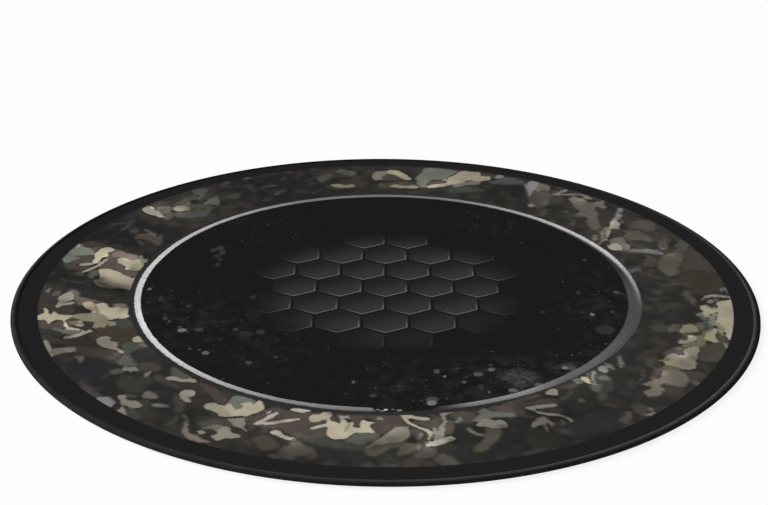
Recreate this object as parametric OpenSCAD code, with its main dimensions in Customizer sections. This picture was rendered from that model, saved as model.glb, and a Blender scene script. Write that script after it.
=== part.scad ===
// Round floor mat for a swivel chair.
// A printed cloth is bonded by an adhesive film to a rubber sheet, and a three-thread
// overlock seam wraps the cut edge of all three layers in a rounded bead.
// Units are millimetres. The origin is the centre of the underside, with +Z up.

/* [Mat] */
// Diameter over the stitched edge
mat_d = 1000; // [800:10:1400]

/* [Layers] */
// Thickness of the printed cloth
cloth_t = 0.6; // [0.4:0.1:1.2]
// Thickness of the adhesive film under the cloth
film_t = 0.2; // [0.1:0.05:0.4]
// Thickness of the rubber sheet
rubber_t = 3.2; // [2.6:0.1:6]

/* [Stitched edge] */
// Width of the stitched edge, from the needle line to the outside
seam_w = 9; // [7:0.5:14]
// How far the seam presses the layers down from above
squeeze = 0.6; // [0.2:0.1:0.8]
// Length over which the layers slope down into the seam
squeeze_run = 0.8; // [0.4:0.1:1.4]
// Depth of thread on top of the pressed layers
top_thread_t = 1.5; // [1.2:0.1:2.2]
// Depth of thread round the cut edge
edge_thread_t = 1.2; // [1:0.1:2]
// Depth of thread under the pressed layers
bottom_thread_t = 0.8; // [0.5:0.1:1]
// Radius of the bead's inner shoulder
shoulder_r = 1; // [0.6:0.1:1.2]
// Diameter of the needle thread
needle_thread_d = 0.8; // [0.5:0.1:1]
// Distance of the needle thread from the seam's inner edge
needle_inset = 1.8; // [1.6:0.1:3]
// Depth of the groove that the needle thread is pulled into
groove_depth = 0.6; // [0.3:0.05:0.8]
// Clearance between the needle thread and each side of its groove
groove_gap = 0.2; // [0.1:0.05:0.3]

/* [Hidden] */

// A true arc at any count above 12
$fn = 96;
// Sides of a full circle in the seam's sections: flats, because a mesh of so thin a ring needs them
section_fn = 12;

mat_r = mat_d / 2;
seam_r = mat_r - seam_w;
pressed_r = seam_r + squeeze_run;
cut_r = mat_r - edge_thread_t;

film_z = rubber_t;
cloth_z = film_z + film_t;
mat_top = cloth_z + cloth_t;
pressed_top = mat_top - squeeze;
bead_top = pressed_top + top_thread_t;

// The bead's outer side is half round, and the two looper threads meet at its widest line
nose_r = bead_top / 2;
meeting_z = nose_r;

needle_r = seam_r + needle_inset;
groove_z = bead_top - groove_depth;
groove_w = needle_thread_d + 2 * groove_gap;

// Section of one layer: flat out to the seam, then sloping down by the squeeze to the cut edge
module layer_section(bottom, top) {
  polygon([
    [0, bottom],
    [seam_r, bottom],
    [pressed_r, bottom - squeeze],
    [cut_r, bottom - squeeze],
    [cut_r, top - squeeze],
    [pressed_r, top - squeeze],
    [seam_r, top],
    [0, top],
  ]);
}

// Section of the rubber: its underside is also pressed up to take the lower thread
module rubber_section() {
  polygon([
    [0, 0],
    [seam_r, 0],
    [pressed_r, bottom_thread_t],
    [cut_r, bottom_thread_t],
    [cut_r, rubber_t - squeeze],
    [pressed_r, rubber_t - squeeze],
    [seam_r, rubber_t],
    [0, rubber_t],
  ]);
}

// Section of the three layers together, which the seam wraps
module stack_section() {
  rubber_section();
  layer_section(film_z, mat_top);
}

// Outline of the stitched bead: flat below, a round nose outside and a round shoulder inside
module bead_outline() {
  translate([seam_r, 0])
    square([seam_w - nose_r, bead_top - shoulder_r]);
  translate([seam_r + shoulder_r, 0])
    square([seam_w - shoulder_r - nose_r, bead_top]);
  translate([seam_r + shoulder_r, bead_top - shoulder_r])
    circle(r = shoulder_r, $fn = section_fn);
  translate([mat_r - nose_r, nose_r])
    circle(r = nose_r, $fn = section_fn);
}

// Section of the needle thread, pulled flat against the floor of its groove
module needle_section() {
  translate([needle_r, groove_z + needle_thread_d / 2])
    circle(d = needle_thread_d, $fn = section_fn);
  translate([needle_r - needle_thread_d / 2, groove_z])
    square([needle_thread_d, needle_thread_d / 2]);
}

// Section of the groove that the needle thread pulls into the bead
module groove_section() {
  translate([needle_r - groove_w / 2, groove_z])
    square([groove_w, groove_depth]);
}

// Section of the bead above or below the line where the looper threads meet
module looper_section(from_z, to_z) {
  difference() {
    intersection() {
      bead_outline();
      translate([seam_r, from_z])
        square([seam_w, to_z - from_z]);
    }
    stack_section();
    groove_section();
  }
}

// Rubber sheet that grips the floor
module rubber_base() {
  color("#1b1b1c")
    rotate_extrude()
      rubber_section();
}

// Adhesive that holds the cloth to the rubber
module bonding_film() {
  color("#d8d2c0")
    rotate_extrude()
      layer_section(film_z, cloth_z);
}

// Knitted polyester cloth that carries the print
module printed_cloth() {
  color("#3b3a31")
    rotate_extrude()
      layer_section(cloth_z, mat_top);
}

// Thread that wraps the edge from below
module lower_looper_thread() {
  color("#232323")
    rotate_extrude()
      looper_section(0, meeting_z);
}

// Thread that wraps the edge from above
module upper_looper_thread() {
  color("#2b2b2b")
    rotate_extrude()
      looper_section(meeting_z, bead_top);
}

// Thread that locks both loopers to the layers along the seam's inner side
module needle_thread() {
  color("#343434")
    rotate_extrude()
      needle_section();
}

rubber_base();
bonding_film();
printed_cloth();
lower_looper_thread();
upper_looper_thread();
needle_thread();
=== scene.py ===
# %% [markdown]
# # A round chair mat, dressed around its CAD frame
# The mat is a printed cloth on a rubber sheet, with a sewn edge. The CAD model gives every piece its place
# and size, in metres, with the floor at zero height. This lesson adds what a solid model leaves out: the
# print, the knit of the cloth, each stitch of the edge, the grip under the rubber, and light to see it by.

import bpy
import numpy as np
from mathutils import Matrix, Vector


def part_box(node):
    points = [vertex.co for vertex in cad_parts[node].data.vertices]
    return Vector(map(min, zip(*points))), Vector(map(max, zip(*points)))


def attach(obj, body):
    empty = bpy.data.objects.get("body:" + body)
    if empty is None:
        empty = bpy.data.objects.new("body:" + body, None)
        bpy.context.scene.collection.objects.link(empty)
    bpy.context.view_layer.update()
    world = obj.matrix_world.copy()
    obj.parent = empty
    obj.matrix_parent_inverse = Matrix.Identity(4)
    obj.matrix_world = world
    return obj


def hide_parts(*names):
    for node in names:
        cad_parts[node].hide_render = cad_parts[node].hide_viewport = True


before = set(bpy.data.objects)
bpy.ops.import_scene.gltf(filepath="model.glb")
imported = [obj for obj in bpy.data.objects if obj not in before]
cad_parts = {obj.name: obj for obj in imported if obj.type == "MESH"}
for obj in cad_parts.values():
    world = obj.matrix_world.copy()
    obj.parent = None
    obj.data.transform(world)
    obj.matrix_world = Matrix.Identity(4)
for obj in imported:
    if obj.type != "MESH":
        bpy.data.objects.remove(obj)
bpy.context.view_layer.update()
print("CAD nodes:", ", ".join(sorted(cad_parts)))

# %% Sizes that the pieces share
MM = 0.001
mat_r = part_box("upper_looper_thread")[1].x
cut_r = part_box("printed_cloth")[1].x
cloth_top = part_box("printed_cloth")[1].z
cloth_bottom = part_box("bonding_film")[1].z
film_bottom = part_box("rubber_base")[1].z
needle_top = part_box("needle_thread")[1].z

# The seam starts this far in from the outside, and squeezes the layers down over a short slope
SEAM_W = 9 * MM
SQUEEZE = 0.6 * MM
SQUEEZE_RUN = 0.8 * MM
seam_r = mat_r - SEAM_W
print(f"mat radius {mat_r:.4f} m, seam from {seam_r:.4f} m, print at {cloth_top:.4f} m")

# %% [markdown]
# ## Meshes from whole arrays
# Every new piece is a surface worked out with numpy. Two helpers cover the mat: one puts points and faces
# into a mesh, and one carries a profile round the upright axis, as a potter's wheel would. A loop over
# vertices would be slow and harder to read, so each formula is written once for the whole array.


# %% Mesh helpers
def put_mesh(name, points, faces):
    """A mesh object from points (n, 3) and a list of face arrays, each (m, corners). It is shaded smooth."""
    mesh = bpy.data.meshes.new(name)
    corners = [corner for block in faces for corner in block.tolist()]
    mesh.from_pydata(points.reshape(-1, 3), [], corners)
    mesh.shade_smooth()
    made = bpy.data.objects.new(name, mesh)
    bpy.context.scene.collection.objects.link(made)
    print(f"{name}: {len(mesh.vertices)} points, {len(mesh.polygons)} faces")
    return made


def ring_quads(rings, around, first=0):
    """Quads between neighbouring rings of a grid whose points run ring by ring. The last point of a ring
    joins its first."""
    ring = np.arange(rings - 1)[:, None] * around + first
    here = np.arange(around)[None, :]
    ahead = (here + 1) % around
    corners = [ring + here, ring + around + here, ring + around + ahead, ring + ahead]
    return np.stack(corners, -1).reshape(-1, 4)


def lathe(profile, around):
    """A profile carried round the Z axis: its point (r, z) at angle t lands on (r cos t, r sin t, z).
    The profile's first and last points lie on the axis, and a fan of triangles closes each of them."""
    inner = profile[1:-1]
    turn = 2 * np.pi * np.arange(around) / around
    r = inner[:, :1]
    grid = np.stack([r * np.cos(turn), r * np.sin(turn), inner[:, 1:] + 0 * turn], -1).reshape(-1, 3)
    poles = np.array([[0, 0, profile[0, 1]], [0, 0, profile[-1, 1]]])
    here = np.arange(around)
    ahead = (here + 1) % around
    top, bottom = len(grid), len(grid) + 1
    last = (len(inner) - 1) * around
    top_fan = np.stack([np.full(around, top), here, ahead], -1)
    bottom_fan = np.stack([np.full(around, bottom), last + ahead, last + here], -1)
    return np.concatenate([grid, poles]), [ring_quads(len(inner), around), top_fan, bottom_fan]


print("mesh helpers: put_mesh, ring_quads, lathe")

# %% [markdown]
# ## The cloth
# The cloth is one thin disc. It lies flat up to the seam, which squeezes its edge down between the threads.
# The print is drawn with fields stored on the mesh's points, so the rings of points are close together only
# in the band that carries the camouflage. There a step of about two millimetres follows a blotch's outline
# well enough.

# %% The cloth's mesh
AROUND = 1150
BAND_IN = 342 * MM
BAND_OUT = 465 * MM
BAND_STEP = 2.2 * MM
# Rings of points in the plain middle and in the border, and the radius of the one ring inside the underside
PLAIN_RINGS = 14
BORDER_RINGS = 6
UNDER_R = 300 * MM
# The seam pinches the cloth thin at its cut edge
PINCH = 0.5 * MM
CLOTH_SHARP = np.radians(20)

plain = np.linspace(0, BAND_IN, PLAIN_RINGS)[:-1]
band = np.arange(BAND_IN, BAND_OUT + BAND_STEP, BAND_STEP)
border = np.linspace(BAND_OUT + 2 * BAND_STEP, seam_r, BORDER_RINGS)
flat_r = np.concatenate([plain, band, border])
press_r = seam_r + SQUEEZE_RUN
cloth_profile = np.concatenate([
    np.stack([flat_r, np.full_like(flat_r, cloth_top)], -1),
    [[press_r, cloth_top - SQUEEZE], [cut_r, cloth_top - SQUEEZE - PINCH], [cut_r, cloth_bottom - SQUEEZE]],
    [[press_r, cloth_bottom - SQUEEZE], [seam_r, cloth_bottom], [UNDER_R, cloth_bottom], [0, cloth_bottom]],
])
cloth_points, cloth_faces = lathe(cloth_profile, AROUND)
cloth = put_mesh("cloth_printed_face", cloth_points, cloth_faces)
cloth.data.set_sharp_from_angle(angle=CLOTH_SHARP)
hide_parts("printed_cloth")
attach(cloth, "root")

# %% [markdown]
# ## The camouflage
# Woodland camouflage is a few flat inks printed in overlapping blotches and twigs. Noise alone gives the
# right feel but not the right places, so the blotches are laid out one by one, as a print designer would do.
# Each one names its ink and how light that ink is here, and then its points in millimetres. Points of two
# numbers are an outline, which a smooth curve rounds off. Points of three numbers are a twig's middle line
# with its half width.

# %% Inks
# Display colour of each ink at full lightness
INKS = {
    "tan": (182, 172, 150),
    "khaki": (152, 147, 121),
    "sand": (152, 146, 134),
    "stone": (136, 128, 117),
    "mist": (134, 132, 129),
    "moss": (126, 131, 119),
    "olive": (90, 87, 76),
    "umber": (88, 79, 73),
    "bark": (62, 55, 48),
    "pine": (50, 51, 45),
    "slate": (39, 41, 42),
}
print(len(INKS), "inks:", ", ".join(INKS))

# %% [markdown]
# The ground layer comes first. It holds the dull browns and greens that fill most of the band, and the bare
# cloth between them is the dark that the print starts from.

# %% Ground blotches
GROUND = [
    ("slate", 1.1, (192, -378), (206, -366), (226, -352), (250, -338), (272, -338), (284, -350), (266, -374),
     (242, -389), (216, -396), (198, -392)),
    # Left, above the middle
    ("umber", 0.88, (-440, 95), (-425, 97), (-416, 97), (-413, 88), (-414, 74), (-429, 70), (-431, 60),
     (-415, 58), (-404, 50), (-418, 42), (-436, 48), (-444, 60), (-443, 74), (-434, 84)),
    ("bark", 1.08, (-438, 141), (-425, 147), (-410, 139), (-399, 130), (-407, 119), (-416, 117),
     (-424, 122)),
    ("umber", 1.0, (-389, 119), (-380, 116), (-371, 108), (-361, 102), (-351, 97), (-349, 88), (-352, 80),
     (-364, 72), (-363, 52), (-346, 48), (-346, 26), (-353, 24), (-364, 35), (-374, 44), (-384, 52),
     (-399, 52), (-397, 62), (-393, 78), (-396, 90), (-396, 106)),
    ("umber", 1.05, (-420, 108, 4), (-415, 122, 4)),
    ("umber", 0.92, (-307, -308, 3), (-298, -312, 3)),
    ("umber", 0.9, (53, -350, 2.5), (59, -354, 2.5)),
    ("stone", 0.52, (150, -317, 5), (178, -303, 5)),
    ("umber", 1.5, (-388, 109), (-380, 113), (-370, 106), (-360, 101), (-351, 95), (-351, 84), (-358, 80),
     (-366, 88), (-378, 91), (-388, 93)),
    ("umber", 0.88, (-366, 168), (-356, 177), (-338, 177), (-335, 160), (-340, 149), (-348, 150), (-354, 158),
     (-363, 156)),
    ("umber", 0.78, (-360, 151), (-354, 149), (-350, 139), (-349, 127), (-353, 131), (-359, 142)),
    ("umber", 0.9, (-338, 161), (-330, 172), (-325, 150), (-326, 134), (-334, 133), (-338, 142),
     (-341, 150)),
    ("bark", 0.74, (-352, 147), (-344, 148), (-338, 142), (-330, 130), (-336, 125), (-346, 130),
     (-350, 137)),
    ("olive", 0.95, (-410, 43), (-402, 47), (-398, 40), (-397, 28), (-401, 23), (-406, 21), (-411, 26),
     (-409, 34)),
    ("bark", 0.85, (-401, 26), (-395, 28), (-391, 20), (-393, 13), (-399, 14), (-403, 20)),
    ("olive", 0.87, (-429, 41), (-420, 43), (-417, 38), (-418, 28), (-424, 29), (-430, 34)),
    ("umber", 1.48, (-399, 14), (-390, 17), (-384, 8), (-372, 2), (-360, -4), (-350, -8), (-348, -15),
     (-362, -14), (-376, -12), (-388, -7), (-397, 2)),
    # Left, below the middle
    ("umber", 0.67, (-463, -28), (-455, -28), (-448, -22), (-440, -18), (-435, -26), (-437, -42), (-435, -56),
     (-438, -71), (-450, -73), (-461, -60)),
    ("stone", 0.66, (-447, -24), (-438, -22), (-438, -36), (-446, -38)),
    ("umber", 1.24, (-415, -37), (-406, -40), (-396, -46), (-386, -50), (-377, -56), (-384, -58), (-392, -56),
     (-400, -58), (-405, -67), (-412, -56), (-417, -48)),
    ("pine", 0.95, (-386, -9), (-372, -14), (-356, -14), (-349, -20), (-352, -32), (-366, -34), (-380, -24)),
    ("bark", 0.98, (-437, -72), (-425, -67), (-412, -69), (-410, -80), (-407, -91), (-412, -95), (-426, -93),
     (-439, -84)),
    ("pine", 0.84, (-413, -68), (-402, -67), (-395, -76), (-387, -80), (-386, -89), (-398, -91), (-408, -92),
     (-411, -80)),
    ("umber", 0.9, (-451, -111), (-440, -113), (-432, -122), (-420, -113), (-416, -122), (-412, -131),
     (-420, -135), (-436, -137), (-445, -130)),
    ("bark", 0.9, (-392, -114), (-378, -114), (-377, -128), (-384, -136), (-391, -129), (-389, -121)),
    ("pine", 1.0, (-441, -138), (-428, -136), (-416, -144), (-408, -150), (-405, -158), (-418, -157),
     (-433, -151)),
    ("moss", 0.54, (-349, -108), (-340, -103), (-330, -109), (-325, -124), (-334, -133), (-346, -129),
     (-350, -118)),
    ("bark", 1.0, (-367, -134), (-358, -126), (-347, -128), (-337, -134), (-325, -131), (-317, -145),
     (-315, -158), (-325, -171), (-334, -186), (-345, -180), (-350, -160), (-360, -154), (-369, -160),
     (-376, -150), (-373, -142)),
    ("umber", 0.7, (-440, -156), (-426, -160), (-410, -165), (-404, -176), (-420, -173), (-434, -166)),
    ("umber", 0.78, (-402, -184), (-385, -183), (-370, -186), (-352, -190), (-342, -192), (-332, -202),
     (-340, -214), (-352, -214), (-366, -211), (-376, -206), (-388, -202)),
    ("moss", 0.58, (-331, -178), (-322, -171), (-314, -172), (-311, -180), (-309, -190), (-316, -197),
     (-319, -205), (-327, -209), (-325, -200), (-328, -190)),
    ("moss", 0.67, (-327, -209), (-320, -205), (-314, -216), (-309, -225), (-303, -233), (-312, -237),
     (-321, -233), (-329, -228), (-333, -222), (-328, -216)),
    ("slate", 1.0, (-392, -224), (-374, -231), (-360, -222), (-345, -222), (-338, -232), (-336, -250),
     (-348, -268), (-368, -274), (-386, -262)),
    ("stone", 0.57, (-351, -215), (-342, -208), (-334, -203), (-327, -209), (-333, -217), (-343, -219)),
    ("pine", 1.08, (-321, -257), (-308, -262), (-296, -264), (-286, -264), (-279, -275), (-290, -287),
     (-306, -286), (-317, -275)),
    ("bark", 0.7, (-309, -252), (-303, -248), (-296, -249), (-290, -255), (-295, -263), (-303, -263),
     (-308, -257)),
    ("stone", 0.46, (-304, -230), (-290, -225), (-277, -232), (-274, -245), (-285, -250), (-298, -246)),
    # Lower left
    ("moss", 0.62, (-261, -240), (-252, -237), (-243, -248), (-237, -258), (-240, -267), (-250, -265),
     (-259, -256)),
    ("umber", 0.75, (-277, -257), (-263, -268), (-248, -279), (-243, -291), (-253, -289), (-266, -279),
     (-279, -266)),
    ("bark", 0.9, (-251, -281), (-240, -275), (-226, -279), (-214, -294), (-204, -315), (-211, -329),
     (-222, -323), (-224, -305), (-231, -293), (-241, -293)),
    ("umber", 0.8, (-223, -277), (-210, -283), (-196, -299), (-189, -319), (-197, -327), (-206, -311),
     (-215, -294)),
    ("olive", 0.62, (-322, -270), (-300, -267), (-289, -280), (-287, -297), (-300, -303), (-315, -291)),
    ("olive", 0.8, (-247, -306), (-242, -312), (-237, -320), (-235, -330), (-235, -341), (-238, -348),
     (-243, -347), (-245, -335), (-248, -320)),
    ("mist", 0.48, (-301, -339), (-290, -341), (-284, -352), (-281, -363), (-290, -365), (-299, -358),
     (-303, -350)),
    ("umber", 0.84, (-206, -304), (-192, -307), (-183, -318), (-183, -328), (-190, -331), (-198, -322)),
    ("bark", 0.82, (-223, -300), (-208, -306), (-199, -323), (-210, -327), (-213, -339), (-223, -326)),
    # Front, left of the middle
    ("olive", 0.81, (-215, -372), (-205, -365), (-194, -361), (-181, -362), (-175, -371), (-171, -379),
     (-182, -379), (-196, -376), (-209, -379)),
    ("bark", 0.82, (-205, -386), (-196, -384), (-191, -392), (-195, -400), (-194, -407), (-201, -412),
     (-210, -402), (-207, -396)),
    ("umber", 0.8, (-161, -357), (-150, -351), (-143, -345), (-145, -362), (-149, -372), (-147, -379),
     (-154, -385), (-160, -374)),
    ("umber", 0.9, (-144, -347), (-130, -335), (-105, -345), (-86, -347), (-60, -345), (-50, -352),
     (-52, -366), (-63, -371), (-63, -400), (-75, -409), (-95, -405), (-112, -392), (-120, -383),
     (-140, -381), (-151, -372)),
    ("olive", 0.75, (-146, -404), (-135, -399), (-124, -408), (-119, -425), (-135, -431), (-144, -415)),
    ("moss", 0.5, (-96, -401), (-80, -406), (-66, -402), (-56, -408), (-42, -412), (-30, -416), (-19, -420),
     (-28, -429), (-50, -425), (-70, -421), (-88, -411)),
    ("moss", 0.68, (-39, -397), (-30, -391), (-14, -390), (-5, -394), (-9, -408), (-20, -416), (-36, -415),
     (-47, -408)),
    ("bark", 0.78, (-113, -410), (-106, -408), (-105, -420), (-110, -426), (-116, -416)),
    ("umber", 0.88, (-39, -351), (-30, -349), (-21, -356), (-24, -362), (-27, -370), (-28, -379), (-36, -378),
     (-37, -367), (-41, -360)),
    # Front, right of the middle
    ("umber", 0.84, (-20, -350), (0, -350), (18, -351), (24, -362), (28, -374), (26, -379), (14, -377),
     (6, -385), (-3, -394), (-10, -389), (-16, -379), (-12, -368)),
    ("olive", 0.9, (-23, -420), (-8, -407), (6, -405), (22, -403), (27, -411), (37, -416), (39, -424),
     (28, -435), (14, -439), (16, -424), (8, -424), (0, -432), (-12, -441), (-21, -433)),
    ("olive", 0.88, (50, -362), (62, -355), (65, -368), (58, -383), (50, -380), (40, -374), (33, -365)),
    ("stone", 0.58, (31, -378), (40, -383), (45, -392), (42, -402), (36, -405), (34, -396), (29, -394),
     (28, -384)),
    ("bark", 0.66, (25, -404), (30, -398), (35, -402), (37, -410), (30, -414), (24, -410)),
    ("bark", 1.05, (43, -384), (49, -390), (51, -402), (48, -415), (40, -417), (38, -406), (43, -400)),
    ("stone", 0.56, (38, -429), (50, -423), (61, -421), (57, -436), (46, -445), (35, -447), (33, -438)),
    ("umber", 0.72, (24, -448), (38, -446), (46, -455), (35, -463), (23, -461)),
    ("mist", 0.3, (75, -376), (85, -367), (96, -371), (96, -395), (93, -430), (80, -446), (79, -420),
     (77, -400)),
    ("stone", 0.36, (60, -419), (75, -411), (81, -425), (70, -437), (60, -431)),
    ("stone", 0.6, (71, -365), (77, -362), (80, -375), (76, -392), (69, -396), (68, -380)),
    # Lower right
    ("stone", 0.46, (78, -346), (92, -339), (107, -346), (106, -360), (92, -370), (80, -363)),
    ("umber", 0.9, (122, -331), (136, -324), (147, -317), (156, -322), (158, -344), (148, -346), (140, -342),
     (128, -340)),
    ("umber", 0.76, (152, -324), (166, -317), (186, -311), (201, -311), (205, -320), (190, -321), (170, -325),
     (160, -331), (164, -345), (174, -353), (160, -352), (150, -340)),
    ("bark", 0.86, (178, -333), (192, -330), (202, -327), (209, -336), (205, -346), (190, -342),
     (180, -338)),
    ("pine", 0.84, (167, -377), (185, -385), (200, -394), (206, -410), (190, -421), (170, -421), (159, -405),
     (159, -388)),
    ("bark", 0.56, (105, -376), (113, -375), (118, -382), (115, -390), (108, -389), (103, -382)),
    ("pine", 0.85, (206, -290), (225, -284), (246, -298), (249, -328), (226, -335), (210, -318)),
    ("moss", 0.46, (249, -262), (258, -257), (273, -261), (274, -275), (269, -291), (262, -288), (258, -296),
     (251, -293), (247, -284), (245, -272)),
    ("umber", 0.77, (289, -322), (297, -319), (305, -325), (311, -332), (306, -341), (298, -346),
     (291, -335)),
    ("olive", 0.67, (333, -286), (340, -278), (352, -277), (359, -282), (352, -293), (342, -298),
     (331, -295)),
    ("moss", 0.52, (321, -213), (328, -204), (335, -202), (336, -212), (334, -222), (330, -230), (323, -227),
     (320, -219)),
    ("olive", 0.68, (335, -214), (340, -211), (339, -224), (334, -226)),
    ("umber", 0.9, (330, -232), (338, -227), (341, -236), (334, -248), (328, -257), (323, -259),
     (328, -246)),
    ("olive", 0.73, (361, -236), (372, -235), (385, -239), (388, -252), (376, -259), (365, -251)),
    ("stone", 0.56, (355, -183), (366, -175), (377, -180), (372, -191), (364, -193), (353, -195),
     (349, -190)),
    ("khaki", 0.67, (375, -166), (386, -161), (398, -155), (404, -145), (411, -139), (413, -150), (406, -163),
     (398, -173), (388, -171), (377, -175)),
    ("olive", 0.9, (363, -122), (372, -111), (383, -111), (381, -123), (374, -129), (365, -131)),
    ("olive", 0.72, (344, -112), (358, -107), (365, -116), (363, -129), (350, -131), (343, -122)),
    ("umber", 0.88, (424, -131), (432, -131), (437, -142), (434, -159), (424, -163), (413, -167),
     (423, -150)),
    ("olive", 0.75, (399, -172), (412, -165), (425, -163), (432, -172), (426, -190), (417, -208), (400, -212),
     (388, -203), (394, -188)),
    # Right
    ("olive", 0.64, (360, -47), (376, -45), (389, -45), (391, -54), (386, -63), (374, -65), (366, -73),
     (361, -60)),
    ("moss", 0.45, (363, -5), (372, -3), (374, -15), (368, -21), (363, -12)),
    ("bark", 0.9, (414, -14), (430, -17), (445, -14), (458, -8), (460, 20), (446, 31), (425, 26), (411, 10)),
    ("bark", 0.88, (410, 40), (440, 55), (460, 50), (464, 30), (446, 32), (425, 27), (405, 25)),
    ("olive", 0.92, (397, 112), (410, 119), (421, 118), (425, 110), (421, 98), (416, 85), (411, 70),
     (408, 55), (402, 43), (394, 41), (387, 50), (383, 62), (382, 80), (387, 95), (393, 105)),
    ("umber", 0.88, (369, 113), (380, 109), (385, 96), (380, 82), (372, 71), (363, 75), (365, 88),
     (371, 100)),
    ("umber", 0.75, (425, 121), (440, 131), (452, 120), (456, 100), (462, 70), (456, 54), (440, 59),
     (425, 61), (414, 59), (417, 80), (424, 100)),
    ("stone", 0.56, (412, 118), (417, 138), (424, 156), (433, 164), (439, 152), (436, 136), (426, 122)),
    ("bark", 0.76, (360, 71), (378, 71), (383, 58), (372, 47), (361, 55)),
    # Upper right
    ("stone", 0.6, (349, 185), (354, 197), (364, 202), (374, 199), (381, 188), (389, 175), (389, 161),
     (378, 163), (366, 167), (353, 170)),
    ("stone", 0.55, (361, 212), (366, 229), (374, 239), (386, 243), (397, 236), (401, 222), (399, 208),
     (390, 199), (380, 204), (369, 208)),
    ("bark", 0.88, (319, 246), (326, 256), (335, 250), (335, 238), (328, 227), (321, 224), (319, 235)),
    ("bark", 0.78, (331, 180), (340, 191), (348, 201), (353, 190), (346, 177), (338, 174)),
    ("bark", 0.98, (351, 201), (360, 209), (372, 209), (377, 200), (365, 203)),
    ("umber", 0.7, (376, 195), (395, 200), (410, 195), (416, 172), (400, 160), (388, 160), (388, 178)),
    ("stone", 0.68, (286, 297), (293, 306), (305, 309), (317, 312), (328, 308), (330, 299), (322, 292),
     (320, 280), (322, 265), (320, 250), (318, 240), (306, 242), (301, 250), (292, 255), (287, 262),
     (293, 272), (291, 284)),
    ("umber", 0.62, (324, 286), (335, 281), (346, 275), (352, 260), (340, 244), (329, 257), (321, 270)),
    ("umber", 0.85, (221, 348), (232, 356), (246, 353), (257, 349), (261, 336), (256, 318), (248, 300),
     (238, 289), (227, 291), (222, 305), (221, 330)),
    ("olive", 0.66, (251, 320), (262, 333), (273, 333), (276, 318), (268, 307), (255, 307)),
    # Far side
    ("moss", 0.81, (64, 456), (88, 452), (107, 446), (116, 439), (108, 428), (100, 415), (93, 404), (80, 404),
     (70, 402), (65, 390), (62, 368), (52, 371), (48, 392), (47, 410), (54, 426), (60, 444)),
    ("mist", 0.58, (163, 396), (171, 400), (178, 406), (184, 415), (197, 415), (208, 406), (218, 400),
     (219, 386), (200, 384), (182, 385), (168, 388)),
    ("bark", 1.08, (152, 424), (156, 433), (167, 429), (171, 420), (166, 416), (158, 420)),
    ("mist", 0.84, (104, 376), (112, 386), (124, 392), (134, 400), (146, 399), (150, 388), (143, 382),
     (130, 381), (118, 375), (108, 371)),
    ("moss", 0.5, (96, 353), (104, 367), (122, 374), (142, 372), (154, 362), (148, 354), (128, 350),
     (108, 347)),
    ("pine", 0.68, (146, 379), (150, 372), (158, 366), (159, 361), (153, 365), (147, 371)),
    ("umber", 0.8, (-6, 362), (18, 372), (40, 366), (48, 380), (30, 394), (8, 390), (-12, 382)),
    ("olive", 0.75, (-20, 404), (2, 398), (24, 404), (30, 424), (10, 436), (-14, 428)),
    ("bark", 0.9, (-70, 372), (-48, 366), (-30, 376), (-34, 398), (-56, 402), (-74, 392)),
    ("olive", 0.6, (-110, 420), (-88, 410), (-62, 416), (-52, 434), (-76, 446), (-102, 438)),
    # Upper left
    ("olive", 0.94, (-326, 284), (-319, 300), (-311, 319), (-304, 321), (-301, 305), (-301, 290), (-306, 285),
     (-315, 287)),
    ("olive", 0.82, (-302, 262), (-300, 290), (-290, 294), (-278, 290), (-268, 280), (-266, 262), (-280, 250),
     (-295, 250)),
    ("bark", 0.7, (-301, 296), (-300, 309), (-292, 311), (-288, 300), (-292, 291)),
    ("stone", 0.74, (-351, 268), (-345, 279), (-332, 283), (-325, 272), (-329, 258), (-338, 251),
     (-342, 260)),
    ("mist", 0.54, (-319, 256), (-308, 262), (-296, 264), (-282, 260), (-268, 252), (-272, 243), (-290, 238),
     (-308, 236), (-318, 243)),
    ("moss", 0.65, (-336, 235), (-333, 251), (-326, 259), (-321, 248), (-323, 236), (-330, 227)),
    ("bark", 0.9, (-373, 262), (-360, 248), (-345, 240), (-337, 232), (-345, 221), (-360, 229), (-373, 245)),
]
print(len(GROUND), "ground blotches")

# %% [markdown]
# The upper layer holds the light blotches, whose pale tan is what the eye picks out first. Where two of them
# overlap, the later one is printed over the earlier one.

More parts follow.
